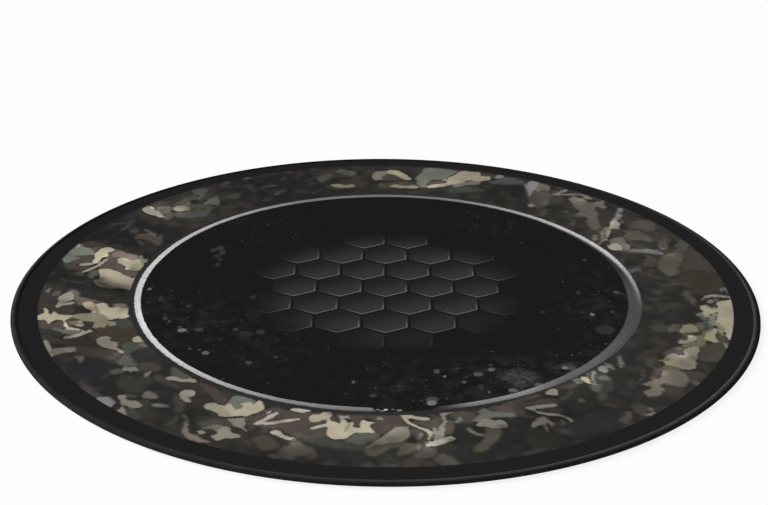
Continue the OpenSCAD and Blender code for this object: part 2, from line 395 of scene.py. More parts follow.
# %% Upper blotches
UPPER = [
    # Left, above the middle
    ("moss", 0.92, (-443, 136), (-438, 133), (-430, 124), (-423, 119), (-417, 110), (-415, 98), (-425, 97),
     (-438, 95), (-440, 90), (-433, 86), (-443, 74), (-449, 70), (-456, 80), (-455, 95), (-450, 115),
     (-446, 128)),
    ("moss", 0.55, (-450, 69), (-441, 66), (-436, 50), (-442, 46), (-448, 56)),
    ("stone", 1.2, (-394, 81, 2.5), (-398, 75, 3), (-402, 62, 2.8), (-411, 50, 2.6), (-420, 39, 1.8)),
    ("tan", 1.05, (-401, 125), (-393, 122), (-389, 115), (-391, 109), (-397, 106), (-394, 97), (-399, 91),
     (-404, 85), (-403, 78), (-405, 70), (-410, 69), (-413, 76), (-411, 86), (-414, 97), (-412, 110),
     (-408, 120)),
    ("stone", 1.1, (-429, 68), (-418, 71), (-410, 70), (-410, 65), (-420, 60), (-428, 61)),
    ("tan", 0.97, (-379, 82), (-376, 88), (-370, 89), (-364, 85), (-360, 80), (-355, 82), (-350, 85),
     (-346, 80), (-344, 72), (-340, 70), (-339, 58), (-342, 50), (-352, 48), (-362, 49), (-364, 58),
     (-370, 66), (-376, 72)),
    ("khaki", 0.97, (-353, 70), (-342, 70), (-338, 58), (-342, 48), (-354, 47), (-359, 56), (-357, 66)),
    ("moss", 0.97, (-350, 97), (-345, 96), (-342, 86), (-336, 85), (-336, 76), (-341, 71), (-345, 78),
     (-348, 86)),
    ("tan", 0.91, (-399, 49), (-390, 51), (-381, 49), (-372, 41), (-362, 32), (-354, 25), (-348, 21),
     (-345, 25), (-345, 5), (-346, -18), (-352, -14), (-362, -10), (-372, -6), (-382, 2), (-390, 9),
     (-393, 16), (-395, 28), (-397, 38)),
    ("khaki", 0.6, (-409, 33, 2), (-403, 22, 2)),
    ("mist", 0.5, (-444, 17, 1.5), (-437, 9, 2)),
    ("mist", 0.5, (-428, 8, 3), (-417, 5, 3)),
    # Left, below the middle
    ("mist", 0.5, (-462, -8, 1.5), (-463, -20, 1)),
    ("mist", 0.87, (-456, -13), (-453, -15), (-454, -27), (-458, -22)),
    ("mist", 0.77, (-430, -20), (-420, -18), (-414, -24), (-411, -33), (-416, -38), (-420, -30),
     (-427, -24)),
    ("sand", 1.0, (-427, -25), (-421, -29), (-418, -40), (-418, -49), (-424, -54), (-429, -57), (-424, -59),
     (-417, -55), (-412, -58), (-414, -62), (-422, -65), (-429, -68), (-433, -73), (-437, -68), (-435, -58),
     (-437, -44), (-434, -34)),
    ("stone", 0.87, (-360, -64), (-353, -60), (-345, -62), (-341, -70), (-340, -79), (-350, -77),
     (-356, -73)),
    ("tan", 0.99, (-402, -62), (-397, -55), (-390, -56), (-385, -61), (-376, -59), (-370, -62), (-367, -70),
     (-361, -73), (-354, -70), (-348, -74), (-341, -76), (-337, -90), (-335, -99), (-341, -103), (-350, -105),
     (-358, -108), (-366, -100), (-374, -96), (-384, -92), (-386, -82), (-393, -76), (-399, -70)),
    ("khaki", 0.85, (-404, -93), (-394, -91), (-386, -90), (-380, -88), (-373, -90), (-364, -99),
     (-359, -110), (-359, -122), (-363, -132), (-368, -130), (-372, -134), (-377, -128), (-375, -118),
     (-380, -114), (-390, -113), (-398, -108), (-405, -104), (-409, -98)),
    ("tan", 0.94, (-452, -74), (-447, -77), (-444, -84), (-441, -92), (-437, -94), (-436, -87), (-432, -87),
     (-428, -93), (-420, -95), (-410, -96), (-408, -100), (-411, -106), (-416, -110), (-413, -118),
     (-409, -128), (-402, -132), (-394, -135), (-390, -139), (-398, -139), (-408, -138), (-412, -130),
     (-416, -120), (-419, -111), (-428, -110), (-432, -114), (-433, -121), (-437, -121), (-439, -114),
     (-444, -110), (-453, -109), (-456, -100), (-450, -92), (-448, -82)),
    ("sand", 0.64, (-409, -112), (-400, -111), (-398, -122), (-406, -122)),
    ("stone", 0.98, (-401, -112), (-394, -110), (-391, -118), (-389, -126), (-394, -128), (-400, -124),
     (-398, -118)),
    ("moss", 0.78, (-429, -135), (-418, -133), (-412, -138), (-400, -140), (-391, -140), (-389, -147),
     (-398, -152), (-410, -149), (-416, -143)),
    ("stone", 1.16, (-375, -142), (-380, -138), (-382, -143), (-388, -139), (-390, -147), (-398, -153),
     (-408, -157), (-407, -163), (-400, -162), (-390, -157), (-383, -150), (-379, -145)),
    ("stone", 0.98, (-357, -113), (-350, -115), (-349, -123), (-356, -126), (-359, -118)),
    ("sand", 0.9, (-432, -168), (-427, -170), (-422, -181), (-417, -191), (-412, -198), (-411, -207),
     (-415, -212), (-421, -203), (-426, -191), (-430, -179)),
    ("stone", 0.98, (-366, -166), (-363, -159), (-356, -156), (-350, -159), (-348, -168), (-342, -171),
     (-337, -175), (-336, -185), (-331, -190), (-327, -197), (-326, -201), (-331, -200), (-336, -194),
     (-344, -190), (-352, -187), (-359, -180), (-364, -172)),
    ("khaki", 1.07, (-321, -163), (-317, -155), (-312, -156), (-307, -164), (-305, -170), (-312, -172),
     (-319, -169)),
    ("mist", 0.76, (-312, -172), (-305, -171), (-300, -178), (-298, -184), (-306, -183), (-312, -178)),
    ("moss", 0.92, (-319, -236), (-314, -238), (-306, -236), (-302, -243), (-299, -249), (-306, -248),
     (-310, -252), (-314, -247), (-320, -247)),
    ("moss", 0.66, (-334, -248), (-328, -243), (-321, -246), (-318, -251), (-324, -254), (-328, -257),
     (-332, -254)),
    ("mist", 0.84, (-291, -254), (-287, -249), (-285, -253), (-287, -262), (-291, -262)),
    ("sand", 0.75, (-418, -198), (-414, -190), (-404, -188), (-397, -190), (-396, -199), (-404, -205),
     (-414, -207)),
    ("sand", 0.86, (-402, -190), (-395, -187), (-388, -190), (-387, -197), (-393, -200), (-399, -197)),
    ("mist", 0.72, (-384, -212), (-375, -210), (-371, -216), (-373, -226), (-376, -232), (-378, -222),
     (-382, -217)),
    ("mist", 0.44, (-395, -222, 2), (-388, -220, 2)),
    # Lower left
    ("sand", 0.9, (-264, -265), (-261, -260), (-254, -262), (-247, -266), (-238, -267), (-236, -263),
     (-233, -268), (-230, -267), (-227, -275), (-234, -275), (-246, -274), (-256, -271), (-262, -270)),
    ("sand", 0.97, (-243, -300), (-239, -295), (-232, -294), (-226, -298), (-225, -306), (-229, -311),
     (-233, -311), (-230, -316), (-228, -322), (-232, -323), (-238, -319), (-242, -312), (-244, -305)),
    ("mist", 0.82, (-273, -330), (-266, -328), (-258, -329), (-250, -335), (-258, -336), (-266, -335)),
    ("sand", 0.68, (-284, -300), (-278, -298), (-274, -302), (-269, -308), (-269, -315), (-278, -315),
     (-286, -312), (-285, -306)),
    ("sand", 0.83, (-316, -311), (-312, -307), (-306, -310), (-304, -318), (-300, -320), (-294, -322),
     (-288, -326), (-284, -334), (-290, -339), (-298, -337), (-303, -333), (-308, -331), (-312, -320)),
    ("mist", 0.95, (-340, -315), (-328, -313), (-322, -318), (-316, -326), (-320, -336), (-330, -333),
     (-338, -324)),
    ("stone", 0.97, (-307, -336), (-304, -337), (-301, -345), (-299, -355), (-305, -351), (-312, -346),
     (-308, -342)),
    ("mist", 0.47, (-364, -278, 4), (-354, -296, 5)),
    # Front, left of the middle
    ("moss", 0.86, (-184, -326), (-181, -313), (-174, -308), (-165, -310), (-156, -315), (-152, -322),
     (-158, -330), (-170, -342), (-178, -338)),
    ("tan", 0.96, (-211, -330), (-208, -326), (-200, -325), (-194, -330), (-189, -331), (-184, -327),
     (-180, -328), (-177, -334), (-174, -340), (-168, -338), (-165, -334), (-168, -328), (-164, -324),
     (-159, -322), (-155, -326), (-151, -325), (-148, -318), (-144, -319), (-144, -326), (-141, -333),
     (-141, -340), (-145, -345), (-150, -349), (-156, -352), (-160, -355), (-170, -355), (-180, -357),
     (-191, -357), (-192, -350), (-200, -344), (-208, -338)),
    ("tan", 0.84, (-211, -331), (-207, -326), (-199, -325), (-193, -331), (-186, -340), (-180, -349),
     (-179, -357), (-191, -357), (-193, -350), (-201, -344), (-208, -339)),
    ("stone", 0.98, (-181, -363), (-172, -361), (-162, -360), (-160, -370), (-161, -380), (-157, -389),
     (-164, -383), (-170, -379), (-176, -371)),
    ("stone", 0.8, (-206, -381), (-196, -376), (-184, -378), (-183, -388), (-190, -392), (-194, -386),
     (-204, -385)),
    ("stone", 1.0, (-190, -390), (-184, -379), (-176, -382), (-173, -392), (-166, -397), (-162, -402),
     (-170, -406), (-180, -406), (-188, -411), (-194, -406), (-196, -400), (-190, -396)),
    ("stone", 0.85, (-232, -354, 2), (-228, -365, 2.6), (-226, -390, 3.6)),
    ("mist", 0.56, (-240, -358, 2), (-239, -366, 2.5), (-246, -374, 2)),
    ("stone", 0.87, (-226, -394, 4), (-219, -402, 4.5), (-208, -411, 4), (-199, -413, 2.5)),
    ("stone", 1.0, (-214, -391), (-208, -388), (-204, -393), (-207, -397)),
    ("sand", 1.16, (-125, -348, 3), (-136, -361, 3), (-147, -373, 2.5)),
    ("sand", 1.16, (-146, -372, 2.5), (-130, -371, 3), (-112, -365, 3), (-100, -361, 2)),
    ("stone", 1.2, (-138, -348), (-134, -342), (-131, -344), (-135, -350)),
    ("sand", 0.99, (-130, -392), (-125, -386), (-119, -388), (-114, -396), (-107, -401), (-101, -404),
     (-103, -408), (-110, -408), (-117, -402), (-125, -397)),
    ("sand", 1.2, (-110, -338), (-103, -345), (-95, -346), (-86, -341), (-92, -337), (-100, -336)),
    ("tan", 0.94, (-84, -352), (-77, -350), (-71, -345), (-63, -344), (-61, -352), (-65, -360), (-70, -362),
     (-76, -367), (-83, -367), (-87, -361)),
    ("sand", 1.2, (-82, -382, 2.5), (-74, -377, 3), (-66, -374, 3)),
    ("tan", 1.0, (-66, -361), (-63, -360), (-61, -366), (-56, -368), (-51, -371), (-49, -364), (-44, -364),
     (-42, -369), (-37, -367), (-36, -371), (-38, -377), (-35, -378), (-28, -379), (-28, -368), (-25, -362),
     (-20, -364), (-16, -366), (-12, -368), (-16, -373), (-16, -380), (-12, -389), (-14, -391), (-25, -391),
     (-33, -392), (-39, -398), (-43, -404), (-50, -406), (-58, -405), (-64, -399), (-66, -390), (-64, -382),
     (-67, -374)),
    ("sand", 0.95, (-55, -352), (-48, -353), (-42, -352), (-41, -358), (-46, -359), (-46, -364), (-51, -364),
     (-53, -358)),
    ("stone", 0.95, (-9, -357), (-6, -355), (-3, -358), (-3, -361), (-8, -362)),
    ("stone", 0.6, (-105, -406), (-98, -407), (-90, -418), (-82, -426), (-75, -436), (-76, -448), (-84, -451),
     (-88, -444), (-95, -442), (-100, -449), (-110, -449), (-122, -447), (-129, -440), (-120, -436),
     (-114, -424), (-106, -420)),
    ("mist", 0.47, (-22, -457), (-13, -455), (-11, -464), (-23, -466)),
    # Front, right of the middle
    ("stone", 0.97, (13, -378), (26, -377), (28, -388), (29, -398), (24, -404), (18, -410), (4, -413),
     (-8, -418), (-20, -424), (-12, -410), (-2, -398), (6, -387)),
    ("sand", 0.83, (64, -346), (70, -343), (79, -342), (73, -348), (70, -351), (72, -364), (68, -376),
     (68, -392), (66, -402), (60, -407), (56, -408), (56, -396), (60, -386), (64, -372), (67, -362),
     (66, -352)),
    ("tan", 0.93, (18, -350), (30, -351), (36, -354), (50, -355), (52, -359), (48, -362), (38, -361),
     (30, -358), (26, -358), (27, -364), (31, -369), (40, -376), (49, -382), (53, -387), (56, -390),
     (53, -398), (50, -407), (58, -408), (66, -402), (74, -397), (79, -400), (75, -406), (66, -412),
     (57, -417), (50, -420), (47, -423), (47, -416), (50, -412), (49, -404), (50, -396), (48, -388),
     (40, -382), (32, -374), (25, -368), (22, -360), (20, -354)),
    ("mist", 0.76, (84, -358), (87, -353), (89, -360), (84, -367), (81, -364)),
    ("stone", 0.58, (57, -440), (64, -436), (72, -442), (81, -452), (81, -459), (66, -459), (58, -452),
     (54, -448)),
    ("mist", 0.5, (1, -460, 3), (12, -460, 3)),
    ("mist", 1.0, (40, -402, 1.2), (41, -392, 1.2)),
    # Lower right
    ("moss", 0.76, (110, -340), (114, -332), (119, -336), (128, -341), (140, -342), (150, -343), (152, -350),
     (142, -353), (130, -353), (122, -357), (113, -361), (103, -362), (107, -352), (110, -346)),
    ("olive", 0.84, (117, -376), (128, -378), (134, -385), (131, -394), (126, -406), (121, -416), (114, -426),
     (106, -430), (98, -429), (102, -418), (110, -408), (113, -396), (116, -386)),
    ("sand", 0.84, (105, -373), (108, -365), (113, -359), (120, -357), (127, -361), (133, -360), (139, -365),
     (141, -371), (138, -377), (131, -379), (122, -378), (116, -375), (110, -375)),
    ("stone", 0.78, (95, -380, 1.8), (98, -386, 1.8), (105, -392, 2.2), (111, -394, 2)),
    ("sand", 0.84, (163, -331), (170, -327), (180, -325), (190, -323), (199, -320), (202, -326), (192, -330),
     (182, -332), (176, -334), (178, -338), (184, -341), (194, -344), (204, -346), (211, -351), (216, -358),
     (215, -364), (209, -354), (198, -349), (186, -347), (178, -344), (173, -337), (167, -334)),
    ("stone", 0.82, (169, -377), (170, -366), (175, -358), (184, -351), (188, -358), (194, -369), (191, -373),
     (187, -366), (185, -372), (186, -385), (183, -374), (178, -371)),
    ("moss", 0.45, (154, -433), (165, -424), (178, -423), (176, -431), (165, -434), (157, -438)),
    ("moss", 0.72, (204, -361, 1.5), (205, -368, 1.5)),
    ("olive", 0.7, (200, -380), (211, -383), (211, -393), (203, -388)),
    ("sand", 0.89, (193, -300), (191, -293), (198, -286), (204, -285), (206, -293), (205, -300)),
    ("khaki", 1.06, (237, -258), (241, -253), (246, -259), (249, -270), (245, -271), (240, -265)),
    ("moss", 0.68, (256, -254), (266, -252), (273, -256), (272, -262), (262, -261)),
    ("moss", 0.88, (255, -240, 0.8), (252, -252, 2), (252, -272, 2)),
    ("sand", 0.64, (247, -244, 1), (245, -254, 1.8)),
    ("sand", 0.88, (57, -380, 1.5), (57, -391, 2.5)),
    ("stone", 0.72, (443, -27, 2.5), (444, -39, 3)),
    ("khaki", 0.92, (437, -52, 2), (438, -62, 2.5)),
    ("khaki", 1.0, (433, -70, 2), (435, -82, 2.5)),
    ("moss", 0.68, (416, -92, 2.5), (420, -100, 2.5)),
    ("mist", 0.56, (262, 350, 2.5), (266, 358, 2.5)),
    ("tan", 0.74, (90, 396, 2.5), (94, 404, 2.5)),
    ("mist", 0.56, (-352, -301, 3), (-341, -309, 3)),
    ("mist", 0.73, (226, -260), (234, -257), (238, -266), (232, -271)),
    ("moss", 0.65, (252, -276), (258, -273), (259, -284), (252, -291), (248, -284)),
    ("moss", 0.54, (254, -302), (261, -295), (265, -298), (260, -308), (256, -313), (253, -308)),
    ("mist", 0.61, (228, -312), (232, -306), (236, -312), (232, -318)),
    ("olive", 0.75, (208, -308), (216, -300), (222, -292), (220, -300), (213, -310)),
    ("stone", 0.58, (273, -352), (278, -346), (284, -339), (287, -345), (284, -356), (280, -366), (274, -363),
     (272, -357)),
    ("sand", 0.7, (302, -343), (308, -340), (314, -340), (312, -347), (305, -348)),
    ("stone", 0.71, (308, -334), (311, -330), (313, -336), (309, -338)),
    ("mist", 0.44, (295, -264, 2), (296, -280, 2)),
    ("stone", 1.02, (351, -200), (356, -193), (363, -192), (368, -197), (374, -192), (375, -185), (379, -178),
     (387, -173), (396, -178), (393, -189), (387, -202), (386, -215), (383, -223), (380, -231), (372, -234),
     (364, -231), (359, -224), (352, -223), (351, -212), (354, -205)),
    ("khaki", 0.73, (339, -210), (348, -207), (353, -205), (353, -215), (350, -223), (346, -223),
     (345, -214)),
    ("stone", 0.79, (335, -250), (338, -240), (343, -234), (352, -232), (358, -234), (364, -242), (368, -252),
     (367, -262), (362, -273), (358, -279), (352, -276), (345, -277), (336, -271), (330, -277), (334, -287),
     (330, -291), (326, -301), (312, -299), (309, -292), (315, -285), (320, -277), (322, -268), (325, -262),
     (332, -258)),
    ("khaki", 0.66, (339, -229), (352, -224), (360, -228), (359, -234), (345, -234), (338, -235)),
    ("moss", 0.78, (289, -210), (291, -200), (293, -200), (295, -212), (292, -226), (290, -229),
     (288, -220)),
    ("moss", 0.95, (261, -232), (266, -225), (273, -228), (273, -238), (268, -243), (263, -240)),
    ("mist", 0.83, (270, -217), (277, -222), (281, -232), (277, -236), (273, -226)),
    ("mist", 0.54, (315, -238, 2), (313, -252, 2.5), (309, -262, 1.5)),
    ("stone", 0.79, (309, -270), (321, -265), (319, -275), (312, -275)),
    ("stone", 0.56, (368, -255), (374, -257), (381, -264), (379, -273), (374, -275), (370, -266)),
    # Right
    ("moss", 0.88, (420, -112), (422, -98), (426, -84), (431, -78), (436, -82), (433, -93), (431, -104),
     (429, -113)),
    ("tan", 0.88, (441, -44), (448, -40), (456, -36), (466, -35), (466, -50), (463, -65), (460, -80),
     (457, -95), (453, -110), (449, -125), (445, -140), (441, -155), (437, -150), (436, -138), (438, -124),
     (436, -114), (432, -106), (432, -96), (436, -84), (438, -70), (440, -56)),
    ("khaki", 0.93, (418, -62), (420, -52), (428, -51), (433, -58), (439, -56), (441, -66), (437, -76),
     (430, -76), (424, -84), (418, -87), (415, -80), (419, -72)),
    ("moss", 0.83, (407, -84), (412, -74), (417, -77), (417, -87)),
    ("sand", 0.84, (431, -36), (437, -32), (440, -38), (436, -45), (431, -44)),
    ("mist", 1.0, (424, -36), (427, -27), (433, -20), (441, -18), (452, -20), (466, -23), (466, -28),
     (452, -26), (441, -25), (434, -27), (429, -31), (426, -37)),
    ("mist", 0.72, (455, -7, 1.5), (457, -1, 2)),
    ("mist", 0.76, (462, 1, 1.5), (464, -8, 1.5), (463, -14, 1.2)),
    ("stone", 0.58, (403, -24), (406, -11), (410, -9), (412, -24), (417, -34), (418, -43), (412, -49),
     (408, -44), (405, -34)),
    ("stone", 0.48, (375, 7), (382, 14), (392, 18), (404, 21), (410, 14), (415, 19), (415, 12), (402, 12),
     (390, 10)),
    ("stone", 0.44, (378, 31, 2), (392, 30, 2.5), (402, 24, 3)),
    ("khaki", 0.82, (380, -122), (384, -115), (392, -108), (398, -107), (403, -114), (404, -124), (401, -132),
     (390, -133), (379, -132)),
    ("sand", 0.58, (403, -107), (410, -103), (415, -110), (411, -123), (405, -129)),
    ("khaki", 0.97, (408, -150), (408, -140), (411, -131), (419, -122), (426, -119), (429, -126), (424, -134),
     (423, -146), (421, -158), (415, -160)),
    ("stone", 0.98, (371, -160), (376, -151), (381, -154), (386, -150), (388, -142), (392, -139), (398, -143),
     (397, -151), (392, -157), (386, -160), (379, -165), (373, -166)),
    ("mist", 0.9, (428, -172), (430, -164), (434, -170), (431, -177)),
    ("stone", 0.75, (366, -182), (370, -173), (373, -178), (370, -185)),
    ("khaki", 0.98, (344, -212), (352, -201), (361, -203), (365, -214), (361, -226), (350, -223)),
    ("khaki", 0.86, (427, -100), (434, -104), (438, -118), (437, -132), (431, -140), (430, -124)),
    ("khaki", 0.68, (396, -152), (401, -140), (409, -130), (413, -130), (410, -142), (405, -156),
     (399, -164)),
    # Upper right
    ("mist", 0.72, (344, 134), (356, 135), (366, 133), (378, 132), (390, 129), (397, 122), (397, 113),
     (384, 115), (370, 119), (355, 121), (344, 126)),
    ("stone", 0.68, (337, 141), (346, 139), (351, 126), (345, 121), (337, 124)),
    ("stone", 0.87, (396, 140), (400, 140), (405, 136), (402, 131), (396, 133)),
    ("mist", 0.66, (340, 60), (348, 66), (354, 73), (358, 70), (355, 59), (348, 54), (341, 50)),
    ("mist", 0.52, (334, 88, 2), (336, 96, 2)),
    ("stone", 0.46, (361, 51, 3), (366, 42, 3.5), (380, 33, 2.5), (395, 28, 2.5)),
    ("stone", 0.46, (367, 58), (373, 61), (376, 54), (371, 50)),
    ("mist", 0.96, (345, 240, 4), (351, 258, 4), (357, 285, 3)),
    ("stone", 0.78, (321, 202), (326, 212), (333, 215), (335, 207), (330, 200), (325, 198)),
    ("sand", 0.97, (331, 210), (335, 226), (340, 240), (347, 238), (349, 226), (346, 212), (343, 207),
     (335, 206)),
    ("sand", 0.83, (320, 170), (322, 182), (325, 195), (329, 204), (332, 196), (329, 186), (324, 171),
     (319, 163)),
    ("mist", 0.97, (309, 151, 1.5), (314, 160, 2), (320, 166, 2)),
    ("stone", 0.65, (299, 228), (303, 241), (310, 249), (317, 241), (320, 228), (319, 212), (312, 203),
     (304, 205), (300, 216)),
    ("sand", 0.66, (325, 150), (330, 169), (338, 174), (347, 175), (349, 162), (344, 151), (338, 149)),
    ("sand", 1.02, (321, 134), (324, 146), (330, 153), (338, 151), (341, 140), (338, 128), (329, 128)),
    ("stone", 0.76, (318, 170, 2.5), (319, 184, 3), (320, 196, 2.5)),
    ("stone", 0.76, (352, 246, 2.6), (353, 231, 2)),
    ("stone", 0.84, (341, 140), (344, 153), (350, 151), (353, 140), (348, 131)),
    ("stone", 0.58, (393, 152), (400, 163), (406, 173), (413, 168), (411, 158), (407, 146), (402, 135),
     (396, 140)),
    ("stone", 0.76, (301, 168), (304, 181), (309, 180), (309, 168), (304, 161)),
    ("stone", 0.8, (283, 322), (288, 331), (294, 335), (300, 328), (308, 323), (311, 316), (306, 308),
     (300, 299), (290, 299), (285, 308)),
    ("mist", 0.9, (306, 334), (312, 335), (319, 330), (321, 325), (316, 322), (312, 326)),
    ("stone", 0.8, (317, 308), (326, 315), (334, 319), (338, 312), (335, 305), (336, 293), (332, 283),
     (327, 292), (325, 302)),
    ("mist", 0.67, (242, 312), (248, 323), (247, 308), (243, 297)),
    ("stone", 0.5, (233, 262), (238, 276), (245, 283), (243, 266), (236, 254)),
    ("mist", 0.55, (276, 221), (278, 237), (283, 241), (284, 224)),
    ("mist", 1.0, (219, 378), (224, 388), (231, 399), (238, 397), (245, 390), (243, 380), (238, 370),
     (234, 361), (228, 351), (225, 341), (223, 333), (222, 350), (220, 365)),
    ("sand", 0.7, (233, 358), (236, 372), (243, 388), (250, 386), (257, 376), (258, 364), (252, 357),
     (242, 356)),
    ("stone", 0.52, (272, 274, 1.5), (277, 265, 2.5), (286, 260, 3), (293, 254, 3)),
    ("mist", 0.94, (217, 292), (219, 301), (223, 303), (228, 298), (226, 292)),
    ("mist", 0.98, (284, 362, 3), (274, 354, 2.5), (262, 343, 2.5), (280, 343, 2.5), (304, 345, 2.5),
     (314, 333, 2.5)),
    # Far side
    ("tan", 0.84, (99, 412), (110, 424), (118, 437), (126, 443), (138, 439), (151, 436), (152, 422),
     (158, 419), (166, 417), (166, 405), (157, 401), (152, 397), (146, 395), (140, 398), (136, 404),
     (130, 401), (122, 391), (114, 385), (106, 383), (98, 379), (88, 373), (76, 369), (65, 366), (65, 375),
     (75, 382), (84, 386), (95, 390), (94, 400), (98, 406)),
    ("khaki", 1.08, (96, 384), (108, 386), (116, 392), (116, 404), (106, 408), (98, 402)),
    ("mist", 0.9, (173, 413), (180, 425), (189, 420), (187, 413), (178, 411)),
    ("tan", 0.85, (-2, 436), (6, 444), (18, 442), (26, 432), (34, 418), (40, 404), (32, 400), (22, 410),
     (14, 424), (4, 428)),
    ("khaki", 0.9, (6, 374), (16, 380), (28, 374), (42, 378), (52, 370), (44, 364), (30, 366), (16, 366)),
    ("stone", 0.85, (-24, 418), (-16, 436), (-4, 440), (2, 428), (-6, 416), (-8, 404), (-18, 400)),
    ("khaki", 0.8, (-88, 376), (-78, 382), (-66, 376), (-54, 380), (-50, 370), (-64, 364), (-80, 366)),
    ("moss", 0.6, (-76, 446), (-60, 440), (-48, 430), (-54, 418), (-70, 424), (-82, 434)),
    ("stone", 0.55, (-112, 400), (-106, 418), (-92, 428), (-86, 416), (-94, 398), (-102, 388)),
    ("mist", 0.48, (-258, 370, 3), (-254, 376, 4), (-252, 384, 3)),
    ("mist", 0.72, (-227, 398, 2.5), (-221, 403, 3)),
    ("mist", 0.38, (-218, 406, 3), (-208, 407, 3), (-197, 411, 4)),
    ("mist", 0.44, (-215, 376, 4), (-213, 360, 4), (-206, 345, 2)),
    ("mist", 0.49, (-194, 360, 3), (-190, 368, 4), (-178, 372, 4)),
    ("mist", 0.52, (-171, 335, 3.5), (-168, 345, 3.5), (-160, 353, 3)),
    # Upper left
    ("sand", 1.05, (-371, 268), (-368, 279), (-362, 283), (-355, 277), (-351, 266), (-346, 264), (-341, 256),
     (-338, 248), (-334, 242), (-338, 237), (-343, 240), (-350, 245), (-358, 249), (-364, 255), (-368, 262)),
    ("tan", 0.86, (-325, 272), (-323, 281), (-315, 285), (-308, 285), (-302, 278), (-301, 270), (-308, 264),
     (-318, 263)),
    ("mist", 0.57, (-301, 338), (-304, 347), (-296, 354), (-288, 358), (-280, 355), (-279, 346), (-285, 337),
     (-290, 331), (-297, 331)),
    ("stone", 0.53, (-306, 316), (-301, 327), (-296, 331), (-289, 318), (-289, 311), (-300, 309)),
    ("sand", 0.64, (-279, 287), (-278, 300), (-273, 308), (-269, 320), (-264, 327), (-259, 315), (-257, 302),
     (-257, 291), (-266, 291), (-272, 294)),
    ("moss", 0.53, (-285, 267), (-281, 280), (-277, 292), (-272, 286), (-276, 271)),
    ("mist", 0.52, (-247, 318), (-244, 331), (-236, 337), (-228, 335), (-226, 325), (-230, 317)),
    ("mist", 0.46, (-402, 211, 3), (-388, 215, 3), (-378, 222, 3)),
    ("mist", 0.48, (-379, 215, 3), (-384, 200, 3), (-390, 187, 2)),
    ("mist", 0.49, (-377, 182), (-372, 195), (-365, 190), (-365, 178), (-372, 173)),
    ("stone", 0.7, (-355, 190, 2), (-349, 184, 3), (-342, 176, 3), (-336, 168, 2)),
]
print(len(UPPER), "upper blotches")

# %% [markdown]
# A last few marks lie over the light blotches: dark notches that cut into them, and pale tips.

# %% Detail blotches
DETAIL = [
    ("bark", 0.8, (-59, -347, 2), (-56, -355, 3), (-54, -363, 2)),
    ("bark", 0.85, (-52, -347, 1.5), (-43, -350, 1.5)),
    ("mist", 1.3, (-443, 132, 1.1), (-441, 126, 1.3)),
    ("olive", 0.6, (-411, -104), (-405, -105), (-404, -112), (-410, -114)),
    ("khaki", 0.82, (-386, -62, 1.2), (-376, -92, 2), (-372, -102, 1.5)),
    ("stone", 0.93, (-400, -188, 2), (-390, -192, 2.5)),
    ("khaki", 0.98, (-40, -368, 1.2), (-44, -386, 2)),
    ("bark", 0.9, (387, -135), (396, -133), (405, -133), (405, -139), (396, -141), (387, -138)),
    ("olive", 0.95, (411, -130), (416, -121), (422, -111), (426, -114), (422, -123), (416, -133)),
    ("bark", 0.95, (429, -52), (436, -45), (442, -48), (440, -57), (433, -61)),
    ("bark", 0.75, (281, 278), (288, 283), (294, 276), (290, 267), (283, 270)),
    ("bark", 0.8, (309, 322), (318, 323), (321, 312), (314, 311)),
    ("bark", 0.85, (349, 158), (352, 164), (355, 158), (352, 151)),
    ("umber", 0.9, (75, 390), (84, 400), (93, 398), (95, 391), (86, 386)),
    ("olive", 0.56, (337, -272, 1.5), (346, -275, 1.5)),
    ("sand", 1.08, (54, -414, 5), (64, -410, 5), (75, -402, 4.5)),
    ("mist", 1.02, (48, -412, 1.5), (49, -421, 1.5)),
    ("mist", 0.78, (38, -415, 1.3), (38, -427, 1)),
    ("moss", 0.98, (67, -378, 2), (65, -394, 3)),
    ("sand", 1.02, (-398, -124, 2), (-392, -126, 2)),
    ("khaki", 0.88, (-306, 269, 3), (-305, 280, 3)),
    ("khaki", 0.7, (-306, 297, 1.5), (-304, 288, 2), (-300, 268, 1.5)),
    ("mist", 0.78, (-270, 312, 1.5), (-273, 303, 2), (-277, 292, 1.5)),
    ("pine", 0.62, (-264, 268, 1.5), (-257, 256, 2.2), (-252, 248, 2.5)),
    ("pine", 0.76, (-280, 277, 1.6), (-279, 270, 2)),
    ("pine", 0.8, (-294, 271, 1.5), (-294, 263, 1.5)),
    ("mist", 0.68, (-288, 331, 1.2), (-289, 319, 1.5), (-290, 312, 1.2)),
    ("pine", 0.85, (-293, 329, 1.2), (-292, 321, 1.5)),
    ("mist", 0.68, (372, -266, 1.5), (376, -272, 1.5)),
]
print(len(DETAIL), "detail blotches")

# %% [markdown]
# A blotch becomes a field: how deep inside it each point of the mesh lies, in millimetres, and negative
# outside. A field between points changes smoothly, so the material can cut it off sharply at zero, finer
# than the mesh.

# %% Depth inside a blotch
# Depth counts only this far outside a blotch, in millimetres
REACH = 12.0
# Stands in for zero where a division needs it
TINY = 1e-9


def linear(srgb):
    """Display colour (0 to 255) as the light it stands for (0 to 1), by the sRGB curve."""
    share = np.asarray(srgb, float) / 255
    return np.where(share <= 0.04045, share / 12.92, ((share + 0.055) / 1.055) ** 2.4)


def nearest_leg(start, run, x, y):
    """For each place and straight leg: the share of the leg at its nearest point, and the distance to it."""
    from_x = x[:, None] - start[:, 0]
    from_y = y[:, None] - start[:, 1]
    along = (from_x * run[:, 0] + from_y * run[:, 1]) / np.maximum((run**2).sum(1), TINY)
    along = np.clip(along, 0, 1)
    return along, np.hypot(from_x - along * run[:, 0], from_y - along * run[:, 1])


def twig_depth(spots, x, y):
    """Along each leg, the half width there less the distance to the leg. The largest of the legs counts."""
    start = spots[:-1]
    run = spots[1:] - start
    along, away = nearest_leg(start, run, x, y)
    return (start[:, 2] + along * run[:, 2] - away).max(1)


